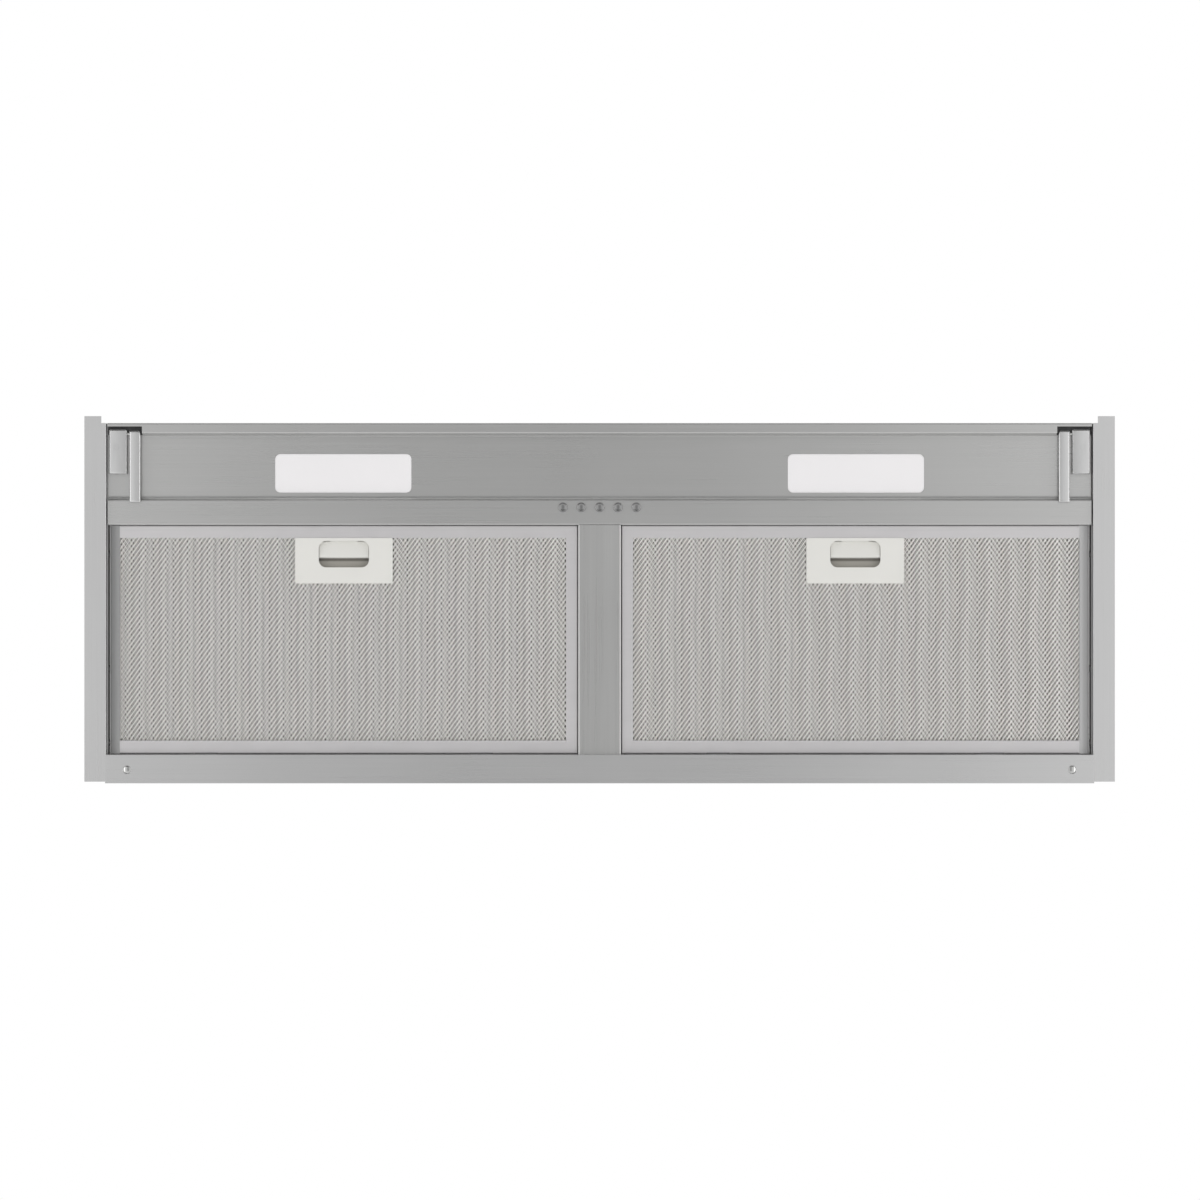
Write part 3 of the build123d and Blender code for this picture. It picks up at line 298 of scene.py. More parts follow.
def brushed(name, rgba, grain, roughness=0.30, metal=0.80, bend_shade=None):
    """Brushed sheet: fine scratches, wider bands and slow clouds, all drawn out along the grain.

    The last argument is a (start, end) in y in front of which the sheet turns up, and there a
    painted shade darkens its colour."""
    s = Shader(name, rgba, metal, roughness)
    place, direction = sheet_grain(s, grain)
    fine = s.noise(place, (7.0, 1500.0, 1500.0), 2.0, 0.6)
    wide = s.noise(place, (0.9, 150.0, 150.0), 3.0, 0.55)
    cloud = s.noise(s.place, 9.0, 2.0)
    layers = [(fine, 0.10), (wide, 0.04), (cloud, 0.05)]
    # painted shade along the front bend
    if bend_shade:
        layers.append((s.ramp(s.split(s.place)[1], *bend_shade), -BEND_SHADE_DEPTH))
    s.shade(*layers)
    s.roughen((fine, 0.12), (wide, 0.08), (cloud, 0.08))
    s.bump(fine, 0.02 * MM, 0.5)
    s.join(direction, s.bsdf.inputs["Tangent"])
    return s.set(Anisotropic=0.55)


def spangled(name, rgba, size=130.0):
    """Galvanised sheet: zinc crystals a few millimetres wide, each with its own tone."""
    s = Shader(name, rgba, 1.0, 0.42)
    # the normal keeps the crystals of neighbouring faces apart
    warped = s.vector("ADD", s.vector("MULTIPLY", s.place, (size,) * 3),
                      s.node("ShaderNodeTexCoord").outputs["Normal"])
    cells = s.node("ShaderNodeTexVoronoi", feature="F1")
    cells.inputs["Scale"].default_value = 1.0
    s.join(warped, cells.inputs["Vector"])
    tone = s.math("SUBTRACT", s.split(cells.outputs["Color"])[0], 0.5)
    feather = s.noise(s.place, 900.0, 3.0, 0.6)
    cloud = s.noise(s.place, 12.0)
    s.shade((tone, 0.16), (feather, 0.10), (cloud, 0.08))
    s.roughen((tone, 0.14), (feather, 0.10))
    s.bump(feather, 0.03 * MM, 0.4)
    return s.material


def turned(name, rgba, roughness=0.25):
    """Small bright metal pieces: plated, with fine handling marks."""
    s = Shader(name, rgba, 1.0, roughness)
    fine = s.noise(s.place, 2500.0, 2.0)
    cloud = s.noise(s.place, 220.0, 2.0)
    s.shade((fine, 0.08), (cloud, 0.10))
    s.roughen((fine, 0.10), (cloud, 0.12))
    s.bump(fine, 0.01 * MM, 0.4)
    return s.material


def rolled(name, rgba, roughness=0.42, grain=(30.0, 700.0, 700.0)):
    """Satin rolled aluminium with a faint rolling grain."""
    s = Shader(name, rgba, 0.55, roughness)
    lines = s.noise(s.place, grain, 2.0, 0.55)
    mottle = s.noise(s.place, 60.0, 3.0)
    s.shade((lines, 0.06), (mottle, 0.06))
    s.roughen((lines, 0.10), (mottle, 0.10))
    s.bump(lines, 0.015 * MM, 0.4)
    return s.material


def moulded(name, rgba, roughness, texture=1400.0, depth=0.012, tone=0.04, **more):
    """Moulded plastic: fine spark-eroded texture and a slow unevenness in colour and gloss."""
    s = Shader(name, rgba, 0.0, roughness)
    grain = s.noise(s.place, texture, 3.0, 0.6)
    slow = s.noise(s.place, 35.0, 2.0)
    s.shade((grain, tone * 0.6), (slow, tone))
    s.roughen((grain, 0.08), (slow, 0.10))
    s.bump(grain, depth * MM, 0.6)
    return s.set(**more)


def latch_plastic(name, shade_or_tongue_tone, depth):
    """Cream moulding with a second tone: painted shade inside the pocket, or the slider's steel
    tongue.
    """
    s = Shader(name, colour(227, 226, 221), 0.0, 0.40)
    x, y, z = s.split(s.place)
    # the second tone goes on the steel tongue, or as painted shade inside the pocket
    if depth is None:
        inside = s.math("LESS_THAN", y, TONGUE_START)
    else:
        inside = s.math("MULTIPLY", s.math("GREATER_THAN", z, depth),
                        s.math("GREATER_THAN", y, POCKET_OPEN))
    grain = s.noise(s.place, 1400.0, 3.0, 0.6)
    slow = s.noise(s.place, 35.0, 2.0)
    s.shade((grain, 0.024), (slow, 0.04))
    shade_or_tongue_tint = s.pick(inside, (1.0, 1.0, 1.0), shade_or_tongue_tone)
    if depth is not None:
        # painted shade: darker still in a band just behind the slider's edge
        under = s.math("MULTIPLY", inside, s.ramp(y, *POCKET_EDGE_SHADE))
        shade_or_tongue_tint = s.vector("MULTIPLY", shade_or_tongue_tint, s.pick(under, (1.0, 1.0, 1.0), POCKET_EDGE_SHADE_TONE))
    both = s.vector("MULTIPLY", s.bsdf.inputs["Base Color"].links[0].from_socket, shade_or_tongue_tint)
    s.join(both, s.bsdf.inputs["Base Color"])
    s.roughen((grain, 0.08), (slow, 0.10))
    s.bump(grain, 0.012 * MM, 0.6)
    return s.material


def lens_plastic():
    """Opal diffuser: milky, with a very fine pearl texture and a little scattering inside."""
    s = Shader("lens_plastic", colour(244, 242, 243), 0.0, 0.32)
    pearl = s.noise(s.place, 1800.0, 2.0)
    slow = s.noise(s.place, 20.0, 1.0)
    s.shade((pearl, 0.012), (slow, 0.015))
    s.roughen((pearl, 0.10), (slow, 0.06))
    s.bump(pearl, 0.006 * MM, 0.5)
    return s.set(Subsurface_Weight=0.15, Subsurface_Radius=(2.0 * MM, 2.0 * MM, 2.0 * MM),
                 Subsurface_Scale=1.0)


def circuit_board():
    """White solder mask over faint copper tracks."""
    s = Shader("circuit_board", colour(232, 233, 228), 0.0, 0.30)
    tracks = s.node("ShaderNodeTexBrick")
    s.join(s.vector("MULTIPLY", s.place, (160.0, 300.0, 160.0)), tracks.inputs["Vector"])
    tracks.inputs["Scale"].default_value = 1.0
    grain = s.noise(s.place, 900.0, 2.0)
    line = s.math("SUBTRACT", tracks.outputs["Fac"], 0.5)
    s.shade((line, -0.06), (grain, 0.04))
    s.roughen((grain, 0.10))
    s.bump(tracks.outputs["Fac"], 0.03 * MM, 0.5)
    return s.material


def enamel(name, rgba):
    """Baked enamel with a light orange peel."""
    s = Shader(name, rgba, 0.0, 0.38)
    peel = s.noise(s.place, 420.0, 2.0)
    slow = s.noise(s.place, 30.0, 2.0)
    s.shade((peel, 0.10), (slow, 0.16))
    s.roughen((peel, 0.10), (slow, 0.12))
    s.bump(peel, 0.03 * MM, 0.5)
    return s.set(Coat_Weight=0.2, Coat_Roughness=0.2)


STEEL_X = brushed("stainless_grain_x", colour(200, 200, 199), "x")
STEEL_PANEL = brushed("stainless_panel", colour(200, 200, 199), "x", bend_shade=PANEL_BEND_SHADE)
STEEL_Y = brushed("stainless_grain_y", colour(192, 192, 191), "y")
STEEL_FRAME = brushed("stainless_frame", colour(207, 207, 207), "frame")
STEEL_BOX = brushed("stainless_box", colour(186, 186, 185), "box")
STEEL_BRACKET = brushed("stainless_bracket", colour(209, 209, 209), "y", roughness=0.24)
ZINC_SHEET = spangled("galvanised", colour(178, 180, 182))
ZINC_DAMPER = spangled("galvanised_damper", colour(172, 174, 176), size=200.0)
ALUMINIUM = rolled("aluminium", colour(210, 208, 209))
MESH_METAL = rolled("aluminium_mesh", colour(238, 236, 233), 0.42, (500.0, 500.0, 500.0))
CORE_METAL = rolled("aluminium_core", colour(216, 213, 209), 0.45, (500.0, 500.0, 500.0))
FOIL_METAL = rolled("aluminium_foil", colour(150, 147, 142), 0.5, (250.0, 900.0, 250.0))
BRIGHT = turned("bright_steel", colour(205, 205, 203))
BRIGHT_SATIN = turned("bright_steel_satin", colour(196, 196, 195), 0.2)
DARK_STEEL = turned("dark_steel", colour(122, 122, 123), 0.4)
# painted shade: the side rails are coloured darker than the frame, the left one darker than the
# right
SHADED_SIDE_RAIL = {side: brushed(f"side_rail_{side}", colour(tone), "y", roughness=0.38, metal=0.6)
             for side, tone in (("left", 148), ("right", 174))}
# painted shadow: the backing plate is coloured dark where the notch lies in shade
NOTCH_SHADE_STEEL = brushed("notch_shade_steel", colour(96, 96, 97), "x", roughness=0.4)
SPRING = turned("spring_steel", colour(170, 170, 170), 0.3)
BUTTON = moulded("button_metal", colour(150, 150, 150), 0.2, 1800.0, 0.005, 0.05, Metallic=0.9)
CREAM = latch_plastic("cream_plastic", POCKET_SHADE_TONE, POCKET_DEPTH)
SLIDER_PLASTIC = latch_plastic("cream_plastic_slider", TONGUE_TONE, None)
LENS = lens_plastic()
WHITE_PLASTIC = moulded("white_plastic", colour(226, 226, 224), 0.5)
BLACK_PLASTIC = moulded("black_plastic", colour(42, 42, 43), 0.5, 900.0, 0.03, 0.12)
GREY_PLASTIC = moulded("grey_plastic", colour(150, 150, 152), 0.5, 1000.0, 0.02, 0.06)
CAPACITOR = moulded("capacitor_white", colour(224, 224, 219), 0.35, 500.0, 0.01)
SHEATH = moulded("wire_sheath", colour(205, 205, 203), 0.55, 2000.0, 0.01)
BOARD = circuit_board()
MOTOR = enamel("motor_paint", colour(58, 59, 61))

NODE_FINISH = {
    STEEL_FRAME: ("face_frame",),
    STEEL_PANEL: ("lamp_panel",),
    STEEL_X: ("control_strip",),
    STEEL_Y: ("filter_divider",),
    STEEL_BOX: ("canopy_shell",),
    STEEL_BRACKET: ("hinge_rivets",),
    ZINC_SHEET: ("electrics_cover", "motor_housing", "scroll_band", "scroll_side_left",
                 "scroll_side_right", "motor_bracket", "duct_collar"),
    ZINC_DAMPER: ("damper_flap_front", "damper_flap_rear"),
    DARK_STEEL: ("frame_rivets",),
    BRIGHT: ("hinge_pins", "housing_screws", "damper_rod", "motor_shaft"),
    CREAM: ("latch_housing_left", "latch_housing_right"),
    SLIDER_PLASTIC: ("latch_slider_left", "latch_slider_right"),
    LENS: ("lamp_lens_left", "lamp_lens_right"),
    WHITE_PLASTIC: ("lamp_housing_left", "lamp_housing_right", "led_driver"),
    BLACK_PLASTIC: ("switch_block", "fan_wheel", "fan_hub", "cable_gland"),
    GREY_PLASTIC: ("terminal_box", "terminal_box_cover"),
    CAPACITOR: ("motor_capacitor",),
    SHEATH: ("lamp_wires",),
    BOARD: ("led_boards",),
    MOTOR: ("motor_body",),
}


def finish_nodes():
    """Gives the CAD nodes their materials, also where a folded copy is made from one."""
    for material, names in NODE_FINISH.items():
        for name in names:
            slots = NODES[name].material_slots
            if not slots:
                NODES[name].data.materials.append(material)
            for place in NODES[name].material_slots:
                place.material = material


# ==================================================================================================
# Pieces
# ==================================================================================================
def place_piece(name, mesh, body, replaced=()):
    """An object with this mesh that rides on a body, in the place of some CAD nodes."""
    piece = bpy.data.objects.new(name, mesh)
    bpy.context.scene.collection.objects.link(piece)
    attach(piece, body)
    if replaced:
        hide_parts(*replaced)
    return piece


def mesh_piece(name, points, faces, material, body, slot, replaced=()):
    """A piece from points and faces."""
    mesh = bpy.data.meshes.new(name)
    mesh.from_pydata([tuple(p) for p in points], [], [tuple(f) for f in faces])
    mesh.materials.append(material)
    mesh.validate()
    return place_piece(name, mesh, body, replaced)


def smooth(piece, angle=35.0):
    """Smooth shading with sharp edges over an angle; faces square to an axis stay flat."""
    for polygon in piece.data.polygons:
        polygon.use_smooth = max(abs(n) for n in polygon.normal) < 0.9995
    piece.data.set_sharp_from_angle(angle=math.radians(angle))


def add_bar(verts, faces, first, last):
    """Adds a closed bar between two rings of as many points."""
    n, base = len(first), len(verts)
    verts.extend(first)
    verts.extend(last)
    for i in range(n):
        j = (i + 1) % n
        faces.append((base + i, base + j, base + n + j, base + n + i))
    faces.append(tuple(base + i for i in reversed(range(n))))
    faces.append(tuple(base + n + i for i in range(n)))


def lathe(profile, centre, segments=64):
    """A turned solid from (radius, z) points, from one face's middle to the other's."""
    points, faces = [(*centre, profile[0][1])], []
    for r, z in profile[1:-1]:
        for k in range(segments):
            a = 2 * math.pi * k / segments
            points.append((centre[0] + r * math.cos(a), centre[1] + r * math.sin(a), z))
    points.append((*centre, profile[-1][1]))
    rings, last = len(profile) - 2, len(points) - 1
    for k in range(segments):
        m = (k + 1) % segments
        faces.append((0, 1 + m, 1 + k))
        for ring in range(rings - 1):
            a, b = 1 + ring * segments, 1 + (ring + 1) * segments
            faces.append((a + k, a + m, b + m, b + k))
        a = 1 + (rings - 1) * segments
        faces.append((a + k, a + m, last))
    return points, faces


def runs(inside):
    """(first, last) of each unbroken stretch of steps that are not inside a hole."""
    start, found = None, []
    for i, blocked in enumerate(list(inside) + [True]):
        if not blocked and start is None:
            start = i
        if blocked and start is not None:
            found.append((start, i))
            start = None
    return found


def expanded_sheet(low, high, bottom, pitch_x, pitch_y, strand, thick, seed,
                   shift=0.0, hole=None, drift=0.0, askew=0.0):
    """Points and faces of expanded metal: zigzag strands that meet at their corners.

    shift moves the rows in y, and hole is an (x0, x1, y0, y1) that the strands leave free."""
    random = np.random.default_rng(seed)
    rise, step, half = pitch_y / 4, pitch_x / 2, strand / 2
    first_y = low[1] + rise + half + shift
    rows = int((high[1] - rise - half - first_y) / (pitch_y / 2)) + 1
    columns = int((high[0] - low[0]) / step)
    index = np.arange(columns + 1)
    even = low[0] + index * step
    points, faces, base = [], [], 0
    for row in range(rows):
        middle = first_y + row * pitch_y / 2
        wave = np.sin(even * DRIFT_ALONG + row * DRIFT_ROW) * np.sin(row * DRIFT_TURN + seed)
        x = even + drift * wave
        y = middle + (1 - 2 * ((index + row) % 2)) * rise
        wide = half * (1 + WIDTH_VARIES * random.uniform(-1, 1, len(index)))
        lift = bottom + LIFT_VARIES * thick * random.uniform(0, 1, len(index))
        ring = np.stack([
            np.stack([x + askew, y + wide, lift + STRAND_TILT], 1),
            np.stack([x + askew, y + wide, lift + STRAND_TILT + thick], 1),
            np.stack([x - askew, y - wide, lift + thick], 1),
            np.stack([x - askew, y - wide, lift], 1),
        ], 1)
        blocked = np.zeros(columns, bool)
        if hole and hole[2] < middle < hole[3]:
            blocked = (x[1:] > hole[0]) & (x[:-1] < hole[1])
        for first, last in runs(blocked):
            count = last - first
            points.append(ring[first:last + 1].reshape(-1, 3))
            start = base + 4 * np.arange(count)[:, None]
            for a in range(4):
                b = (a + 1) % 4
                faces.append(np.concatenate([start + a, start + b, start + 4 + b, start + 4 + a], 1))
            end = base + 4 * count
            faces.append(np.array([[base + 3, base + 2, base + 1, base],
                                   [end, end + 1, end + 2, end + 3]]))
            base += 4 * (count + 1)
    return np.concatenate(points), np.concatenate(faces)


def wavy_strip(x0, x1, y0, y1, bottom, top):
    """A wavy foil between two levels, as one closed sheet; strips side by side line up."""
    columns = max(2, int((x1 - x0) / (FOIL_PITCH / 8)))
    x = np.linspace(x0, x1, columns + 1)
    wave = (top - bottom - FOIL_THICK) / 2
    z = (bottom + top - FOIL_THICK) / 2 + wave * np.sin(2 * math.pi * x / FOIL_PITCH)
    points = np.concatenate([
        np.stack([x, np.full_like(x, y), z + up], 1)
        for y, up in ((y0, 0), (y0, FOIL_THICK), (y1, FOIL_THICK), (y1, 0))
    ])
    n = columns + 1
    i = np.arange(columns)[:, None]
    faces = [np.concatenate([i + a * n, i + b * n, i + b * n + 1, i + a * n + 1], 1)
             for a, b in ((0, 1), (1, 2), (2, 3), (3, 0))]
    faces.append(np.array([[0, 3 * n, 2 * n, n],
                           [columns, n + columns, 2 * n + columns, 3 * n + columns]]))
    return points, np.concatenate(faces)


def together(*parts):
    """Several (points, faces) as one."""
    points, faces, base = [], [], 0
    for p, f in parts:
        points.append(p)
        faces.append(f + base)
        base += len(p)
    return np.concatenate(points), np.concatenate(faces)


def latch_hole(side):
    """(x0, x1, y0, y1) behind a grip plate, where the latch's pocket takes the mesh's place."""
    low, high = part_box(f"latch_housing_{side}")
    middle = (low.x + high.x) / 2
    return middle - POCKET_HALF, middle + POCKET_HALF, low.y + POCKET_FRONT, low.y + POCKET_REAR


def filter_weave(side, seed):
    """One filter's metal: the front sheet, the second sheet and foil of the core, the back sheet."""
    body, hole = f"filter_{side}", latch_hole(side)
    low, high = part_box(f"filter_mesh_front_{side}")
    if side == "left":
        low.x += OUTER_TRIM
    else:
        high.x -= OUTER_TRIM
    front = expanded_sheet(low, high, low.z, FRONT_PITCH_X, MESH_PITCH_Y, FRONT_STRAND,
                           FINE_SHEET, seed, hole=hole, askew=SHEET_ASKEW)
    mesh_piece(f"filter_front_sheet_{side}", *front, MESH_METAL, body, "aluminium_mesh",
               (f"filter_mesh_front_{side}",))
    core_low, core_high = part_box(f"filter_mesh_core_{side}")
    second = expanded_sheet(low, high, core_low.z + SECOND_LIFT, SECOND_PITCH_X, MESH_PITCH_Y,
                            SECOND_STRAND, FINE_SHEET, seed + 10, MESH_PITCH_Y / 4, hole,
                            SHEET_DRIFT, SHEET_ASKEW)
    areas = ((low.x, hole[0], low.y, high.y), (hole[1], high.x, low.y, high.y),
             (hole[0], hole[1], hole[3], high.y))
    foil = [wavy_strip(*area, core_low.z + FOIL_LIFT, core_high.z) for area in areas]
    mesh_piece(f"filter_second_sheet_{side}", *second, CORE_METAL, body, "aluminium_mesh",
               (f"filter_mesh_core_{side}",))
    mesh_piece(f"filter_core_foil_{side}", *together(*foil), FOIL_METAL, body, "aluminium_mesh")
    low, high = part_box(f"filter_mesh_back_{side}")
    back = expanded_sheet(low, high, low.z, BACK_PITCH_X, BACK_PITCH_Y, BACK_STRAND, BACK_SHEET,
                          seed + 20)
    mesh_piece(f"filter_back_sheet_{side}", *back, MESH_METAL, body, "aluminium_mesh",
               (f"filter_mesh_back_{side}",))


def channel(z0, z1, border, bead=0.0, slope=0.0):
    """C profile of (depth, z): from the face's inner edge round the outside, back on the inside."""
    t, r = FRAME_SHEET, FRAME_ROUND
    outer = [(border, z0 - bead)] + ([] if slope else [(border - FRAME_BEAD_WIDTH, z0)])
    outer += [(r * 1.6, z0 + slope), (r * 0.5, z0 + slope + 0.3 * r), (0.0, z0 + slope + r),
              (0.0, z1 - r), (0.3 * r, z1 - 0.3 * r), (r, z1), (border, z1)]
    inner = [(border, z1 - t), (r + t * 0.4, z1 - t), (t, z1 - r - t * 0.4),
             (t, z0 + slope + r + t * 0.3), (r * 1.6 + t * 0.2, z0 + slope + t), (border, z0 + t)]
    return outer + inner


def sweep(verts, faces, profile, place):
    """Adds a bar; place(depth, end) gives the x and y of a profile point at end 0 or 1."""
    add_bar(verts, faces, *([(*place(d, end), z) for d, z in profile] for end in (0, 1)))


def swept_frame(side):
    """A filter's channel frame: three borders, then the rail beside the trim's wall and hooks."""
    low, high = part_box(f"filter_mesh_back_{side}")
    frame_low, frame_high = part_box(f"filter_frame_{side}")
    gap = FRAME_SHEET + FRAME_LOOSE
    x0, x1 = low.x - gap, high.x + gap
    y0, y1 = low.y - gap - GROW_FRONT, high.y + gap + GROW_REAR
    if side == "left":
        outside, inside, turn = x0, x1 + GROW_SIDE, -1.0
    else:
        outside, inside, turn = x1, x0 - GROW_SIDE, 1.0
    z0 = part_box(f"filter_mesh_front_{side}")[0].z - FRAME_SHEET
    z1 = frame_high.z
    front_mitre, rear_mitre = BORDER_FRONT / BORDER_SIDE, BORDER_REAR / BORDER_SIDE
    stop = outside - turn * RAIL_BORDER
    verts, faces = [], []
    sweep(verts, faces, channel(z0, z1, BORDER_SIDE),
          lambda d, end: (inside + turn * d, y1 - d * rear_mitre if end else y0 + d * front_mitre))
    sweep(verts, faces, channel(z0, z1, BORDER_FRONT),
          lambda d, end: (stop if end else inside + turn * d / front_mitre, y0 + d))
    sweep(verts, faces, channel(z0, z1, BORDER_REAR, FRAME_BEAD),
          lambda d, end: (stop if end else inside + turn * d / rear_mitre, y1 - d))
    mesh_piece(f"filter_channel_{side}", verts, faces, ALUMINIUM, f"filter_{side}", "aluminium",
               (f"filter_frame_{side}",))
    side_rail(side, outside, turn, (y0, y1), (z0, z1))
    filter_hooks(side, (x0 + x1) / 2, y1 - FRAME_SHEET, z0, frame_high.y, frame_low.z)


def side_rail(side, outside, turn, along, levels):
    """The sloped rail beside the trim's wall, with a plate that shuts each end; its darker colour is
    painted shade.
    """
    t, (y0, y1), (z0, z1) = FRAME_SHEET, along, levels
    inner_low, inner_high = z0 + RAIL_SLOPE + FRAME_ROUND + t, z1 - 2 * t
    rail = channel(z0, z1, RAIL_BORDER, 0.0, RAIL_SLOPE)
    shut = [(t, inner_low), (t, inner_high), (RAIL_BORDER, inner_high), (RAIL_BORDER, inner_low)]
    verts, faces = [], []
    for profile, *ends in ((rail, y0, y1), (shut, y0, y0 + t), (shut, y1 - t, y1)):
        sweep(verts, faces, profile, lambda d, end: (outside - turn * d, ends[end]))
    mesh_piece(f"filter_side_rail_{side}", verts, faces, SHADED_SIDE_RAIL[side], f"filter_{side}",
               "stainless")


def filter_hooks(side, centre, front, face, rear, low):
    """Two hooks of dark spring steel that rock on the trim's rear wall."""
    inner, over = rear - HOOK_THICK, face + HOOK_THICK
    chamfer = HOOK_CHAMFER * HOOK_THICK
    profile = [(front, face + HOOK_RISE), (inner, face + HOOK_RISE), (inner, low), (rear, low),
               (rear, over - chamfer), (rear - chamfer, over), (front, over)]
    verts, faces = [], []
    for offset in (-HOOK_OFFSET, HOOK_OFFSET):
        ends = (centre + offset - HOOK_WIDTH / 2, centre + offset + HOOK_WIDTH / 2)
        add_bar(verts, faces, *([(x, y, z) for y, z in profile] for x in ends))
    mesh_piece(f"filter_hooks_{side}", verts, faces, DARK_STEEL, f"filter_{side}", "spring_steel")


def filter_seat(side):
    """A folded ledge round the opening, just above the filter, that the filter closes against."""
    front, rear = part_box("control_strip")[1].y, REAR_WALL
    wall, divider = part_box("canopy_shell")[1].x - SIDE_INSET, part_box("filter_divider")[1].x
    inner, outer = (divider, wall) if side == "right" else (-wall, -divider)
    z0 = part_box(f"filter_frame_{side}")[1].z + SEAT_GAP
    low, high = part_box(f"filter_mesh_back_{side}")
    x0, x1 = low.x + SEAT_COVER, high.x - SEAT_COVER
    y0, y1 = low.y + SEAT_COVER, high.y - SEAT_COVER
    rings = [[(inner, front), (outer, front), (outer, rear), (inner, rear)],
             [(x0, y0), (x1, y0), (x1, y1), (x0, y1)]]
    verts = [(x, y, z) for z in (z0, z0 + SEAT_THICK) for ring in rings for x, y in ring]
    faces = []
    for k in range(4):
        m = (k + 1) % 4
        faces += [(k, m, 4 + m, 4 + k), (8 + k, 12 + k, 12 + m, 8 + m), (k, 8 + k, 8 + m, m),
                  (4 + k, 4 + m, 12 + m, 12 + k)]
    mesh_piece(f"filter_seat_{side}", verts, faces, STEEL_X, "hood", "stainless")


def lamp_cove():
    """The rounded inner corner where the lamp panel meets the control strip."""
    strip_low, strip_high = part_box("control_strip")
    panel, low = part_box("lamp_lens_left")[0].z, strip_low.z + COVE_OVER_STRIP
    profile = [(COVE_FRONT + (COVE_REAR - COVE_FRONT) * math.sin(a),
                low + (panel - low) * math.cos(a))
               for a in (math.radians(90 / COVE_STEPS * k) for k in range(COVE_STEPS + 1))]
    profile.append((COVE_REAR, panel))
    half = strip_high.x - COVE_SHORT
    verts, faces = [], []
    add_bar(verts, faces, *([(x, y, z) for y, z in profile] for x in (-half, half)))
    smooth(mesh_piece("lamp_panel_cove", verts, faces, STEEL_X, "hood", "stainless"))


def bracket_backing(side):
    """A plate above the notch that a corner arm swings through, coloured dark as a painted shadow of
    the notch.
    """
    turn = -1.0 if side == "left" else 1.0
    x0, x1 = sorted((turn * BACKING_INNER, turn * BACKING_OUTER))
    corners = ((x0, BACKING_FRONT), (x1, BACKING_FRONT), (x1, BACKING_REAR), (x0, BACKING_REAR))
    levels = (BACKING_HEIGHT, BACKING_HEIGHT + BACKING_THICK)
    verts, faces = [], []
    add_bar(verts, faces, *([(x, y, z) for x, y in corners] for z in levels))
    mesh_piece(f"bracket_backing_{side}", verts, faces, NOTCH_SHADE_STEEL, "hood", "stainless")


def rear_screws():
    """The two raised screw heads of the rear corners, with their shanks."""
    low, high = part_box("rear_flange_screws")
    y, reach, face = (low.y + high.y) / 2, (high.y - low.y) / 2, low.z + SCREW_SUNK
    radius = (SCREW_HEAD ** 2 + SCREW_CROWN ** 2) / (2 * SCREW_CROWN)
    profile = [(0, face)]
    profile += [(r, face + radius - math.sqrt(radius ** 2 - r ** 2))
                for r in (SCREW_HEAD * k / SCREW_STEPS for k in range(1, SCREW_STEPS + 1))]
    profile += [(SCREW_HEAD - SCREW_EDGE_IN, low.z + SCREW_CROWN + SCREW_EDGE_UP),
                (SCREW_SHANK, low.z + SCREW_NECK), (SCREW_SHANK, high.z - SCREW_POINT),
                (SCREW_SHANK - SCREW_POINT, high.z), (0, high.z)]
    verts, faces = [], []
    for x in (low.x + reach, high.x - reach):
        points, its_faces = lathe(profile, (x, y))
        faces += [tuple(i + len(verts) for i in f) for f in its_faces]
        verts += points
    smooth(mesh_piece("rear_screw_heads", verts, faces, BRIGHT_SATIN, "hood", "bright_steel",
                      ("rear_flange_screws",)))


def button_cap(number):
    """A push button with a dished face inside a rounded rim."""
    node = f"push_button_{number}"
    low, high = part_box(node)
    centre = ((low.x + high.x) / 2, (low.y + high.y) / 2)
    face, seat, rim = low.z, low.z + BUTTON_SEAT, BUTTON_RADIUS - DISH_RADIUS
    shoulder, neck = (high.x - low.x) / 2, seat + BUTTON_SHOULDER
    profile = [(0, face + DISH_DEPTH)]
    profile += [(DISH_RADIUS * k / DISH_STEPS, face + DISH_DEPTH * (1 - (k / DISH_STEPS) ** 2))
                for k in range(1, DISH_STEPS + 1)]
    profile += [(DISH_RADIUS + rim * math.sin(a), face + rim * (1 - math.cos(a)))
                for a in (math.radians(degrees) for degrees in range(15, 91, 15))]
    profile += [(BUTTON_RADIUS, seat), (shoulder - BUTTON_CHAMFER, seat),
                (shoulder, seat + BUTTON_CHAMFER), (shoulder, neck), (BUTTON_STEM, neck),
                (BUTTON_STEM, high.z), (0, high.z)]
    smooth(mesh_piece(f"button_cap_{number}", *lathe(profile, centre), BUTTON,
                      f"button_{number}", "button_metal", (node,)))


def spring(node, name, body, axis, middle=None):
    """A CAD spring as a piece of spring steel that rides on a body.

    With middle, only the coil about that x is kept."""
    mesh = NODES[node].data.copy()
    if middle is not None:
        b = bmesh.new()
        b.from_mesh(mesh)
        far = [v for v in b.verts if abs(v.co.x - middle) > BUTTON_PITCH / 2]
        bmesh.ops.delete(b, geom=far, context="VERTS")
        b.to_mesh(mesh)
        b.free()
    piece = place_piece(name, mesh, body, (node,))
    for place in piece.material_slots:
        place.material = SPRING
    along = "xyz"[axis.index(1.0)]
    low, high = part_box(node)
    length = abs(getattr(low, along) - getattr(high, along))
    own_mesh(piece)


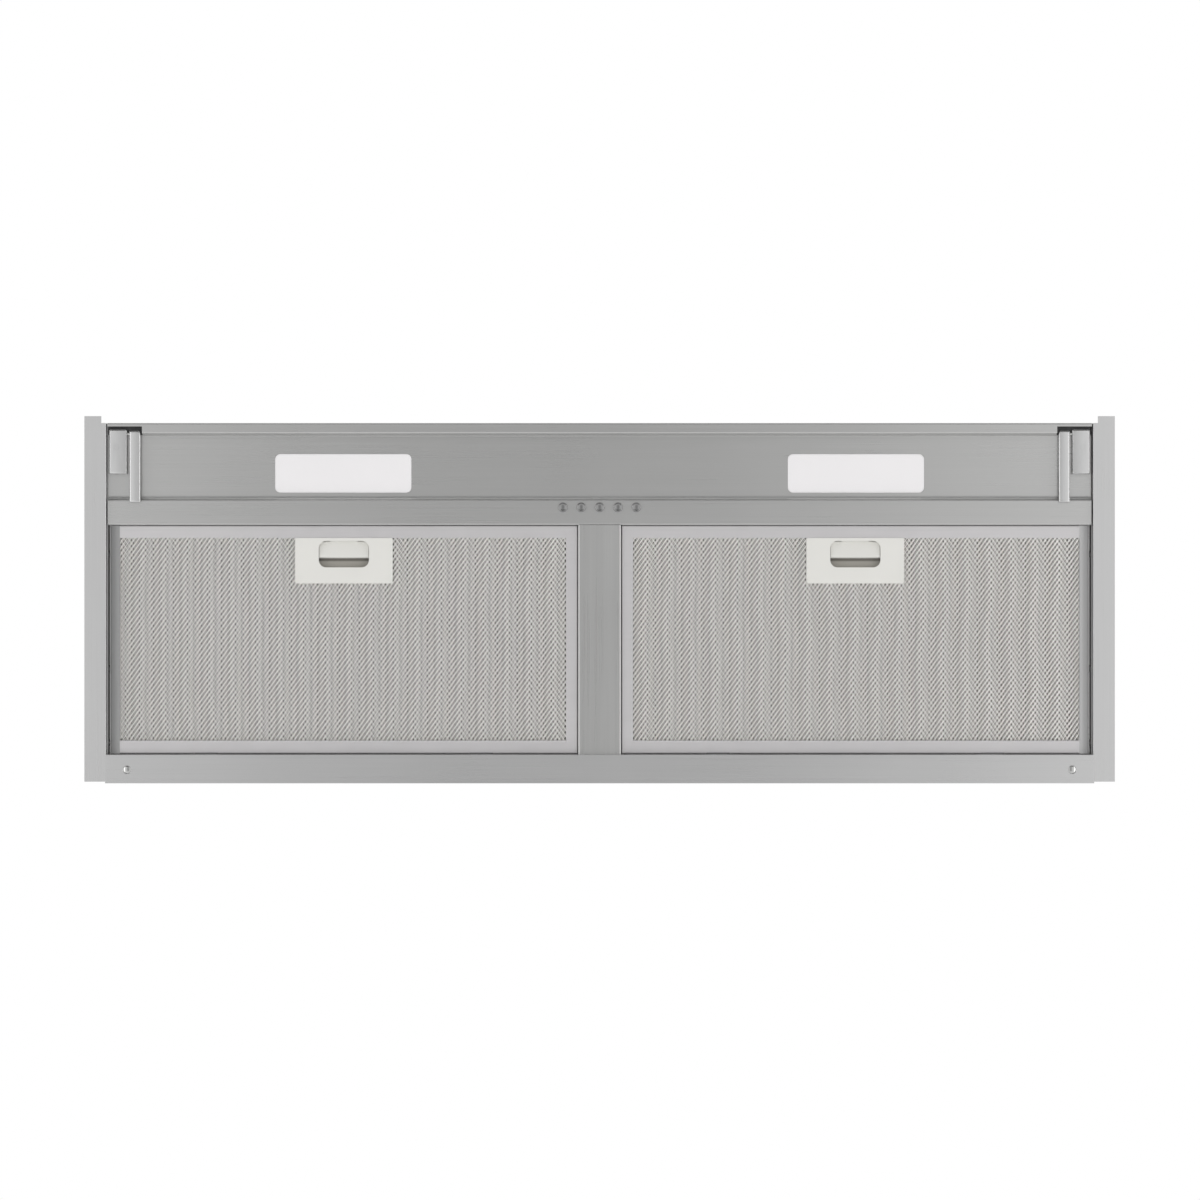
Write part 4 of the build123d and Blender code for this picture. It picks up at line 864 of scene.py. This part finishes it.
def folded_copy(node, radius, body, name, material, shortest=None):
    """A CAD sheet piece with rounded folds: its lowest outer edges, or its long convex ones.

    With shortest, the convex edges longer than that are rounded, instead of the lowest."""
    mesh = NODES[node].data.copy()
    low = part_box(node)[0].z
    b = bmesh.new()
    b.from_mesh(mesh)
    bmesh.ops.remove_doubles(b, verts=b.verts, dist=WELD)
    bmesh.ops.dissolve_limit(b, angle_limit=math.radians(1), verts=b.verts, edges=b.edges)

    def wanted(edge):
        if len(edge.link_faces) != 2:
            return False
        if edge.calc_face_angle_signed(0) < math.radians(FOLD_ANGLE):
            return False
        length = edge.calc_length()
        if shortest is None:
            return length > 2 * radius and all(abs(v.co.z - low) < LEVEL for v in edge.verts)
        broad = all(face.calc_area() > 3 * radius * length for face in edge.link_faces)
        return length > shortest and broad

    edges = [edge for edge in b.edges if wanted(edge)]
    bmesh.ops.bevel(b, geom=edges, offset=radius, segments=FOLD_STEPS, profile=0.5,
                    affect="EDGES", clamp_overlap=True)
    b.to_mesh(mesh)
    b.free()
    for attribute in [a for a in mesh.attributes if a.name == "custom_normal"]:
        mesh.attributes.remove(attribute)
    piece = place_piece(name, mesh, body, (node,))
    for place in piece.material_slots:
        place.material = material
    smooth(piece)


# ==================================================================================================
# Stage, light and camera
# ==================================================================================================
def white_to_sight(tree, surface, seen=WHITE):
    """The given shader, but plain white to camera, glossy and transmission rays."""
    nodes, links = tree.nodes, tree.links
    path = nodes.new("ShaderNodeLightPath")
    either = nodes.new("ShaderNodeMath")
    either.operation = "MAXIMUM"
    links.new(path.outputs["Is Camera Ray"], either.inputs[0])
    links.new(path.outputs["Is Glossy Ray"], either.inputs[1])
    any_of = nodes.new("ShaderNodeMath")
    any_of.operation = "MAXIMUM"
    links.new(either.outputs[0], any_of.inputs[0])
    links.new(path.outputs["Is Transmission Ray"], any_of.inputs[1])
    plain = nodes.new("ShaderNodeEmission" if surface.type != "BACKGROUND"
                      else "ShaderNodeBackground")
    plain.inputs["Color"].default_value = (1.0, 1.0, 1.0, 1.0)
    if isinstance(seen, bpy.types.NodeSocket):
        links.new(seen, plain.inputs["Strength"])
    else:
        plain.inputs["Strength"].default_value = seen
    mix = nodes.new("ShaderNodeMixShader")
    links.new(any_of.outputs[0], mix.inputs[0])
    links.new(surface.outputs[0], mix.inputs[1])
    links.new(plain.outputs[0], mix.inputs[2])
    return mix.outputs[0]


def make_world():
    """An even white world, dimmer for matt surfaces than to sight."""
    world = bpy.data.worlds.new("studio")
    bpy.context.scene.world = world
    world.use_nodes = True
    tree = world.node_tree
    background = next(n for n in tree.nodes if n.type == "BACKGROUND")
    background.inputs["Color"].default_value = (1.0, 1.0, 1.0, 1.0)
    background.inputs["Strength"].default_value = WORLD_FILL
    output = next(n for n in tree.nodes if n.type == "OUTPUT_WORLD")
    tree.links.new(white_to_sight(tree, background), output.inputs["Surface"])


def four_corners(name, points, material):
    """A stage object with one face."""
    mesh = bpy.data.meshes.new(name)
    mesh.from_pydata(points, [], [(0, 1, 2, 3)])
    mesh.materials.append(material)
    flat = bpy.data.objects.new(name, mesh)
    bpy.context.scene.collection.objects.link(flat)
    return flat


def level_square(half, height):
    """The corners of a level square about the origin."""
    return [(x * half, y * half, height) for x, y in ((-1, -1), (1, -1), (1, 1), (-1, 1))]


def make_floor():
    """A pale floor far below, white to sight but for the object's soft shade on it."""
    s = Shader("pale_floor", colour(235), 0.0, 0.8)
    s.shade((s.noise(s.place, 0.6, 2.0), 0.01))
    x, y, z = s.split(s.place)
    across = s.ramp(s.math("ABSOLUTE", x), *SHADE_ACROSS)
    along = s.ramp(s.math("ABSOLUTE", y), *SHADE_ALONG)
    shade = s.math("MULTIPLY", s.math("MULTIPLY", across, along), -SHADE_DEPTH)
    output = next(n for n in s.tree.nodes if n.type == "OUTPUT_MATERIAL")
    surface = white_to_sight(s.tree, s.bsdf, s.math("ADD", shade, WHITE))
    s.tree.links.new(surface, output.inputs["Surface"])
    floor = four_corners("floor", level_square(FLOOR_HALF, 0), s.material)
    floor.location.z = FLOOR_HEIGHT


def reflected_card(name, points, material):
    """A card that only reflections see."""
    card = four_corners(name, points, material)
    card.visible_camera = card.visible_diffuse = False
    card.visible_shadow = card.visible_transmission = False


def make_cards():
    """A grey card in front, and under the object a white one with a darker middle."""
    s = Shader("grey_card", colour(48), 0.0, 0.9)
    s.shade((s.noise(s.place, 3.0, 2.0), 0.05))
    w, y = FLAG_HALF_WIDTH, FLAG_PLACE
    upright = [(-w, y, FLAG_LOW), (w, y, FLAG_LOW), (w, y, FLAG_HIGH), (-w, y, FLAG_HIGH)]
    reflected_card("grey_card", upright, s.material)
    s = Shader("gradient_card", colour(255), 0.0, 0.9)
    x, y, z = s.split(s.place)
    across = s.ramp(s.math("ABSOLUTE", s.math("SUBTRACT", x, CARD_MIDDLE)), *CARD_ACROSS)
    along = s.ramp(s.math("ABSOLUTE", y), *CARD_ALONG)
    shade = s.math("MULTIPLY", s.math("MULTIPLY", across, along), -CARD_DEPTH)
    glow = s.node("ShaderNodeEmission")
    s.join(s.math("ADD", shade, WHITE), glow.inputs["Strength"])
    output = next(n for n in s.tree.nodes if n.type == "OUTPUT_MATERIAL")
    s.join(glow.outputs[0], output.inputs["Surface"])
    reflected_card("gradient_card", level_square(CARD_HALF, CARD_HEIGHT), s.material)


def softbox(name, place, aim, size, power, mirrored=True):
    """A rectangular lamp that the camera doesn't see, nor reflections unless it is mirrored."""
    light = bpy.data.lights.new(name, "AREA")
    light.shape = "RECTANGLE"
    light.size, light.size_y = size
    light.energy = power
    lamp = bpy.data.objects.new(name, light)
    lamp.location = place
    toward = tuple(a - p for a, p in zip(aim, place))
    lamp.rotation_mode = "QUATERNION"
    lamp.rotation_quaternion = Vector(toward).to_track_quat("-Z", "Y")
    lamp.visible_camera = False
    lamp.visible_glossy = mirrored
    bpy.context.scene.collection.objects.link(lamp)


def make_camera():
    """Below the object, looking straight up at it."""
    data = bpy.data.cameras.new("photo_camera")
    data.sensor_width = SENSOR_WIDTH
    data.lens = SENSOR_WIDTH * VIEW_DISTANCE / VIEW_WIDTH
    data.clip_end = CLIP_END
    camera = bpy.data.objects.new("photo_camera", data)
    camera.location = (*VIEW_CENTRE, -VIEW_DISTANCE)
    camera.rotation_euler = (math.pi, 0.0, 0.0)
    bpy.context.scene.collection.objects.link(camera)
    bpy.context.scene.camera = camera


bpy.context.scene.view_settings.view_transform = "Standard"
make_camera()
make_world()
make_floor()
for side, turn in (("left", -1.0), ("right", 1.0)):
    place = (turn * SIDE_PLACE[0], *SIDE_PLACE[1:])
    softbox(f"box_{side}", place, CENTRE, SIDE_SIZE, SIDE_POWER)
softbox("box_rear", REAR_PLACE, CENTRE, REAR_SIZE, REAR_POWER, mirrored=False)
softbox("box_top", TOP_PLACE, ABOVE_CENTRE, TOP_SIZE, TOP_POWER, mirrored=False)
make_cards()

finish_nodes()
for side, seed in (("left", 3), ("right", 5)):
    filter_weave(side, seed)
    swept_frame(side)
    filter_seat(side)
    bracket_backing(side)
    folded_copy(f"hinge_leaf_{side}", FOLD_RADIUS, "hood", f"bracket_leaf_{side}",
                STEEL_BRACKET)
    folded_copy(f"hinge_arm_{side}", FOLD_RADIUS, f"flap_arm_{side}",
                f"bracket_arm_{side}", STEEL_BRACKET)
    spring(f"latch_springs_{side}", f"latch_spring_pair_{side}", f"filter_{side}",
           (0.0, 1.0, 0.0))
for number in range(1, BUTTONS + 1):
    button_cap(number)
    spring("button_springs", f"button_spring_{number}", "hood",
           (0.0, 0.0, 1.0),
           (number - (BUTTONS + 1) / 2) * BUTTON_PITCH)
rear_screws()
lamp_cove()
folded_copy("canopy_shell", SHEET_FOLD, "hood", "canopy_folded", STEEL_BOX,
            SHEET_SHORTEST)
folded_copy("motor_housing", SHEET_FOLD, "hood", "motor_housing_folded",
            ZINC_SHEET, SHEET_SHORTEST)
folded_copy("terminal_box", BOX_FOLD, "hood", "terminal_box_moulded",
            GREY_PLASTIC, BOX_SHORTEST)
folded_copy("terminal_box_cover", BOX_FOLD, "hood", "terminal_cover_moulded",
            GREY_PLASTIC, BOX_SHORTEST)
